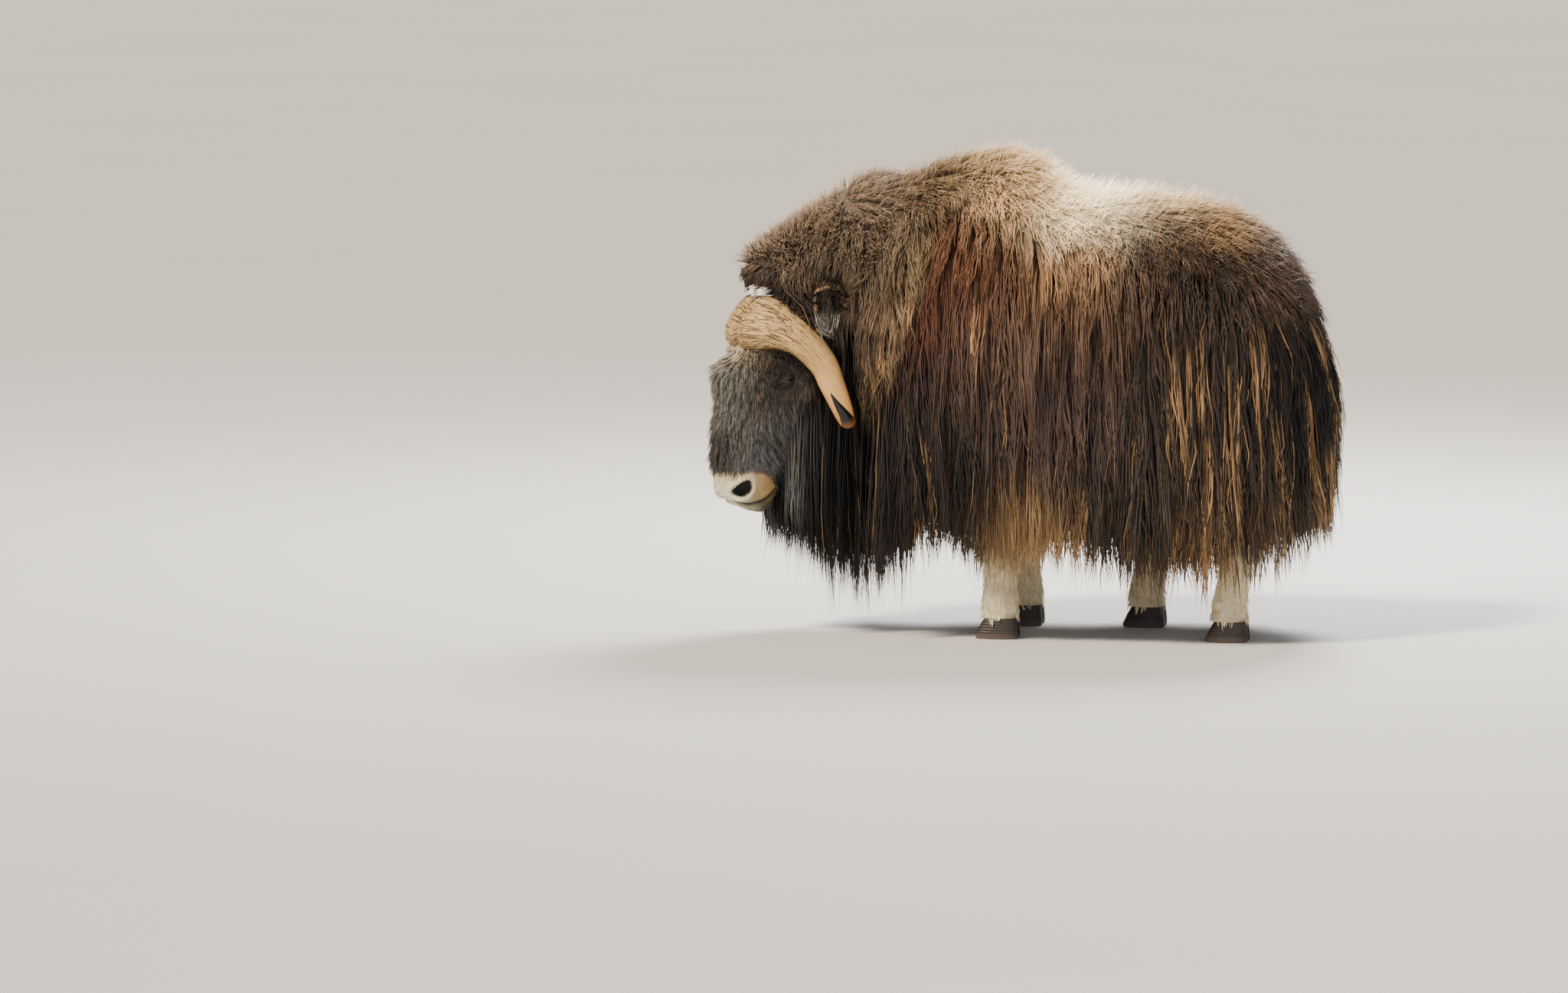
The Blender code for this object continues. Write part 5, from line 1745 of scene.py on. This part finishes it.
    def open_face(self, place: Array) -> Array:
        """Which roots of the face are clear of the horns, the eyes, the nostrils and the line of the mouth."""
        local = head_frame(place)
        side = np.abs(local[:, 2])
        slit = np.stack([local[:, 0], local[:, 1]], -1)
        slant, rise = slit @ (0.81, 0.59), slit @ (-0.59, 0.81)
        free = ~((side > 0.09) & ((slant / 0.024) ** 2 + (rise / 0.009) ** 2 < 1))
        muzzle = self.groom.markings.muzzle
        free &= (muzzle.radius(place) > 1.02) & (distance_to_way(place, muzzle.mouth) > 0.007)
        for tree in self.horn_trees:
            inside = []
            for point in place:
                spot, normal, _, gap = tree.find_nearest(Vector(point), 0.2)
                inside.append(spot is not None and ((Vector(point) - spot).dot(normal) < 0 or gap < 0.003))
            free &= ~np.array(inside, bool)
        return free

    @staticmethod
    def muzzle_share(place: Array) -> Array:
        """1 on the muzzle, 0 on the rest of the head."""
        return ease(muzzle_line(head_frame(place)), -0.004, 0.006)

    @staticmethod
    def face_way(place: Array, normal: Array) -> Array:
        """The way the face's hair starts: down, a little to the nose and out from the mid-line."""
        side = np.sign(head_frame(place)[:, 2:])
        away = ease(over_muzzle(head_frame(place)), -0.03, 0.02) * ease(head_frame(place)[:, 1], 0.0, -0.08)
        way = DOWN * 0.8 + NOSEWARD * 0.35 + LEFT * side * 0.22 - NOSEWARD * 0.95 * away[:, None]
        return unit(way - normal * dot(way, normal)[:, None])

    def head_coat(self) -> None:
        """Grows the hair of the face, the muzzle, the poll and the beard."""

        def face(place: Array, normal: Array) -> Array:
            local = head_frame(place)
            lower = ease(local[..., 1], -0.20, -0.15)
            return COVER.face * (1 - self.muzzle_share(place)) * lower * ease(local[..., 0], -0.24, -0.20)

        def face_length(place: Array, normal: Array) -> Array:
            local = head_frame(place)
            eye = np.exp(-((local[:, 0] / 0.050) ** 2 + (local[:, 1] / 0.035) ** 2)) * (np.abs(local[:, 2]) > 0.09)
            cheek = ease(local[:, 1], -0.02, -0.10)
            free = 0.010 + 0.8 * np.clip(-muzzle_line(local), 0, None)
            return np.maximum(np.minimum(0.052 + 0.030 * cheek - 0.038 * eye, free), 0.010)

        def muzzle_length(place: Array, normal: Array) -> Array:
            gap = distance_to_way(place, self.groom.markings.muzzle.mouth)
            return 0.004 + 0.007 * ease(gap, 0.008, 0.025)

        def muzzle(place: Array, normal: Array) -> Array:
            return COVER.muzzle * self.muzzle_share(place)

        def beard(place: Array, normal: Array) -> Array:
            local = head_frame(place)
            return COVER.beard * ease(local[..., 1], -0.05, -0.11) * ease(over_muzzle(local), 0.015, -0.015)

        def poll(place: Array, normal: Array) -> Array:
            local = head_frame(place)
            return COVER.poll * ease(local[..., 0], -0.150, -0.175) * ease(local[..., 1], -0.06, 0.0)

        def white(place: Array, normal: Array) -> Array:
            local = head_frame(place)
            middle = ease(np.abs(local[..., 2]), 0.06, 0.03)
            return COVER.poll_tuft * (local[..., 0] < -0.165) * (local[..., 0] > -0.225) * middle

        grow = self.groom.grow
        self.add("face_hair", self.opened(grow(
            Kind.FACE, self.head, face, face_length, toward=self.face_way, keep=self.open_face,
            colour=self.groom.markings.hair)), by_head=True)
        self.add("muzzle_hair", grow(Kind.MUZZLE, self.head, muzzle, muzzle_length,
                                     toward=self.face_way, keep=self.open_face), halves=False)
        self.add("beard", self.opened(grow(
            Kind.BEARD, self.head, beard, lambda p, n: np.maximum(1.16 * (p[:, 2] - hem(p)), 0.08), keep=self.open_face,
            colour=self.groom.markings.hair)), by_head=True)
        self.add("poll_hair", self.opened(grow(
            Kind.POLL, self.head, poll, even(REACH.poll), keep=self.open_face,
            toward=lambda p, n: unit(NOSEWARD * 0.2 + n * 0.55 + DOWN * 0.4))), halves=False)
        self.add("poll_tuft", grow(
            Kind.LOCK, self.head, white, even(REACH.poll_tuft), keep=self.open_face,
            colour=plain("fffaf0"),
            toward=lambda p, n: unit(NOSEWARD * 0.25 + n * 0.85)), halves=False)
        self.forelock()
        self.brow_hair()

    def brow_hair(self) -> None:
        """Grows the short hair that closes up to the lower edge of the horns' boss."""

        def front(place: Array, normal: Array) -> Array:
            local = head_frame(place)
            below = ease(local[..., 0], -0.17, -0.15) * ease(local[..., 0], 0.03, 0.0)
            return COVER.brow * below * (local[..., 1] > -0.06)

        def near(place: Array) -> Array:
            gap = [min(tree.find_nearest(Vector(p))[3] for tree in self.horn_trees) for p in place]
            return self.open_face(place) & (np.array(gap) < 0.024)

        self.add("brow_hair", self.groom.grow(
            Kind.FACE, self.head, front, even(REACH.brow), keep=near,
            toward=lambda p, n: unit(n * 0.9 - NOSEWARD * 0.5)), halves=False)

    def forelock(self) -> None:
        """Grows the mane's front, which stands forward over the poll."""

        def front(place: Array, normal: Array) -> Array:
            local = head_frame(place)
            return COVER.forelock * ease(local[..., 0], -0.52, -0.42) * ease(local[..., 1], 0.0, 0.06) * (normal[..., 2] > 0)

        def stance(place: Array, normal: Array) -> Array:
            forward = ease(head_frame(place)[:, 0], -0.36, -0.28)[:, None]
            return unit(NOSEWARD * 0.20 * forward + TAILWARD * 0.45 * (1 - forward) + normal * 0.6)

        self.add("forelock", self.opened(self.groom.grow(
            Kind.LOCK, self.trunk, front, even(REACH.forelock), toward=stance)), halves=False)

    # Ears and legs.

    def ear_coat(self) -> None:
        """Grows the short hair of each ear and the long grey hair that hangs out of it."""
        for ear, form in self.ears:
            _, tip, opening, _ = ear.axes()
            name = f"ear_{ear.side.name.lower()}_hair"
            wall = np.arange(form.points.shape[1]) < 17

            def short(place: Array, normal: Array) -> Array:
                return np.full(place.shape[:-1], COVER.ear)

            def inner(place: Array, normal: Array) -> Array:
                low = np.arange(len(place)) < 0.36 * len(place)
                return np.where(wall, 0.0, COVER.ear_inside)[None] * low[:, None]

            tan, brown, dark = (np.array(linear(c)) for c in ("b89468", "5a4635", "2a2019"))
            middle = form.points.mean((0, 1))

            def rimmed(points: Array) -> Array:
                edge = ease(dot(points - middle, opening), 0.002, 0.020)[..., None]
                front = ease(dot(points - middle, NOSEWARD * 0.7 + DORSAL * 0.7), 0.000, 0.030)[..., None]
                return dark + (brown + (tan - brown) * front - dark) * edge

            self.add(name, self.groom.grow(
                Kind.FACE, form, short, even(REACH.ear), colour=rimmed,
                toward=lambda p, n: unit(tip - p + n * 0.03)), False)
            self.add(name + "_long", self.groom.grow(
                Kind.POLL, form, inner, even(REACH.ear_inside),
                colour=plain("8f897f"),
                toward=lambda p, n: unit(opening * 0.5 + DOWN * 0.9)), False)

    def ear_setting(self) -> None:
        """Grows short hair on the neck and head round each ear, where the long coat parts."""
        middles = [form.points.mean((0, 1)) for _, form in self.ears]

        def near(place: Array, normal: Array) -> Array:
            gap = np.min([np.linalg.norm(place - middle, axis=-1) for middle in middles], axis=0)
            return COVER.ear_setting * ease(gap, 0.115, 0.085)

        for name, form in (("neck", self.trunk), ("temple", self.head)):
            self.add(f"ear_setting_{name}", self.groom.grow(
                Kind.FACE, form, near, even(REACH.ear_setting), keep=self.open_face), by_head=True)

    def leg_coat(self) -> None:
        """Grows the cream hair of the legs, short at the hoof and shaggy at the knee."""
        for leg in self.legs:
            groom = Groom(Comb(leg), self.groom.markings, self.groom.shift, self.groom.seed + 40)
            self.groom.seed += 1

            def below_coat(place: Array, normal: Array) -> Array:
                return COVER.leg * ease(place[..., 2], 0.42, 0.36)

            self.add(f"{leg.name}_hair", groom.grow(
                Kind.FOOT, leg, below_coat, lambda p, n: 0.030 + 0.06 * ease(p[:, 2], 0.16, 0.30),
                colour=self.groom.markings.leg, toward=lambda p, n: unit(DOWN + n * 0.15)), False)

    def build(self) -> None:
        """Grows everything."""
        self.trunk_coat()
        self.head_coat()
        self.ear_coat()
        self.ear_setting()
        self.leg_coat()


@dataclass
class Studio:
    """The plain pale floor, the soft lights and the camera at the photograph's angle."""

    shift: Array
    azimuth: float = math.radians(8)
    elevation: float = math.radians(6)
    distance: float = 36.7
    lens: float = 300.0
    aim: tuple[float, float] = (-0.639, 0.379)

    def floor(self, finish: bpy.types.Material) -> None:
        """Lays the floor."""
        deselect()
        bpy.ops.mesh.primitive_plane_add(size=160, location=(0, 0, 0))
        made = bpy.context.object
        made.name = "floor"
        made.data.materials.append(finish)
        settle(made)

    def lamp(self, name: str, kind: str, power: float, size: float, place: tuple[float, float, float],
             colour: str) -> None:
        """Adds a lamp that looks at the animal.

        Args:
            name: The lamp's name.
            kind: Blender's kind of lamp.
            power: Watts, or strength for a sun.
            size: Width in metres, or a sun's angle in radians.
            place: Where it stands.
            colour: Its sRGB hex colour.
        """
        data = bpy.data.lights.new(name, kind)
        data.energy = power
        data.color = linear(colour)
        if kind == "SUN":
            data.angle = size
        else:
            data.shape = "DISK"
            data.size = size
        made = bpy.data.objects.new(name, data)
        made.location = place
        made.rotation_euler = (Vector((0, 0, 0.75)) - Vector(place)).to_track_quat("-Z", "Y").to_euler()
        bpy.context.scene.collection.objects.link(made)

    def lights(self) -> None:
        """Sets the lamps and the even light of the room."""
        self.lamp("key", "SUN", 5.2, math.radians(10), (-6.0, -6.0, 10.5), "fff0da")
        self.lamp("rim", "AREA", 620.0, 2.5, (0.8, 3.4, 4.4), "ffffff")
        self.lamp("fill", "AREA", 440.0, 10.0, (3.0, -12.0, 3.6), "e6eeff")
        world = bpy.data.worlds.new("studio")
        world.use_nodes = True
        back = world.node_tree.nodes["Background"]
        back.inputs["Color"].default_value = (*linear("e8ecf2"), 1.0)
        back.inputs["Strength"].default_value = 0.34
        bpy.context.scene.world = world

    def camera(self) -> None:
        """Sets the camera at the photograph's angle and framing."""
        data = bpy.data.cameras.new("camera")
        data.lens = self.lens
        data.sensor_width = 36.0
        data.clip_end = 400.0
        made = bpy.data.objects.new("camera", data)
        right, height = self.aim
        spot = Vector((right * math.cos(self.azimuth), right * math.sin(self.azimuth), height)) + Vector(self.shift)
        back = Vector((math.sin(self.azimuth) * math.cos(self.elevation),
                       -math.cos(self.azimuth) * math.cos(self.elevation), math.sin(self.elevation)))
        made.location = spot + back * self.distance
        made.rotation_euler = (-back).to_track_quat("-Z", "Y").to_euler()
        bpy.context.scene.collection.objects.link(made)
        bpy.context.scene.camera = made


FRONT_FEET = {"left": (-0.011, -0.17), "right": (0.018, 0.17)}
HIND_FEET = {"left": (0.635, -0.17), "right": (0.365, 0.17)}
CLAW_SIDE = 0.030
FLESH = ("head", "neck", "tail", "shoulder_left", "shoulder_right", "flank_left", "flank_right", "rump_left",
         "rump_right", "leg_front_left", "leg_front_right", "leg_hind_left", "leg_hind_right", "ear_left",
         "ear_right")


def frame_shift() -> Array:
    """How far the solids stand from the animal's own frame, from the left eye."""
    low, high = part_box("eye_left")
    return np.array((low + high) / 2) - at_head(0, 0, EYE_SIDE)


def ride(made: bpy.types.Object, *nodes: str) -> None:
    """Lets a piece move with the body, and stand for its solids."""
    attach(made, BODY_NAME)
    if nodes:
        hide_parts(*nodes)
    LOG.info("%s rides on %s", made.name, BODY_NAME)


def main() -> None:
    """Builds the animal, dresses it and sets the stage."""
    logging.basicConfig(level=logging.INFO, format="%(message)s")
    shift = frame_shift()
    studio = Studio(shift)
    studio.camera()
    studio.lights()
    studio.floor(FloorFinish().make())

    plan = Body()
    muzzle = plan.muzzle()
    body = plan.form(muzzle)
    markings = Markings(muzzle=muzzle)
    legs = [Leg(f"leg_{pair}_{side}", foot, pair == "hind").form()
            for pair, feet in (("front", FRONT_FEET), ("hind", HIND_FEET)) for side, foot in feet.items()]
    ears = [(ear, ear.form()) for ear in (Ear(side) for side in Side)]
    horns = [Horn(side) for side in Side]
    horn_forms = [horn.form() for horn in horns]

    skin = Skin(body, legs, [form for _, form in ears], markings, shift)
    ride(skin.piece(SkinFinish().make()), *FLESH)
    keratin, glass, hoof = HornFinish().make(), EyeFinish().make(), HoofFinish().make()
    for horn in horns:
        ride(horn.piece(shift, keratin), f"horn_{horn.side.name.lower()}")
        ride(Eye(horn.side).piece(shift, glass), f"eye_{horn.side.name.lower()}")
    for pair, feet in (("front", FRONT_FEET), ("hind", HIND_FEET)):
        for side, foot in feet.items():
            for claw, offset in (("inner", CLAW_SIDE), ("outer", -CLAW_SIDE)):
                out = -offset if side == "right" else offset
                node = f"hoof_{pair}_{side}_{claw}"
                ride(Claw(f"{node}_wall", foot, out).piece(shift, hoof), node)

    comb = Comb(body, [*horn_forms, *(form for _, form in ears)])
    coat = Coat(Groom(comb, markings, shift), body, plan.head_start() * plan.trunk_steps, legs, ears, horn_forms,
                CoatFinish().make())
    coat.build()
    LOG.info("coat: %d triangles in all", sum(len(made.data.polygons) for made in coat.made))
    for made in coat.made:
        ride(made)


if __name__ == "__main__":
    main()
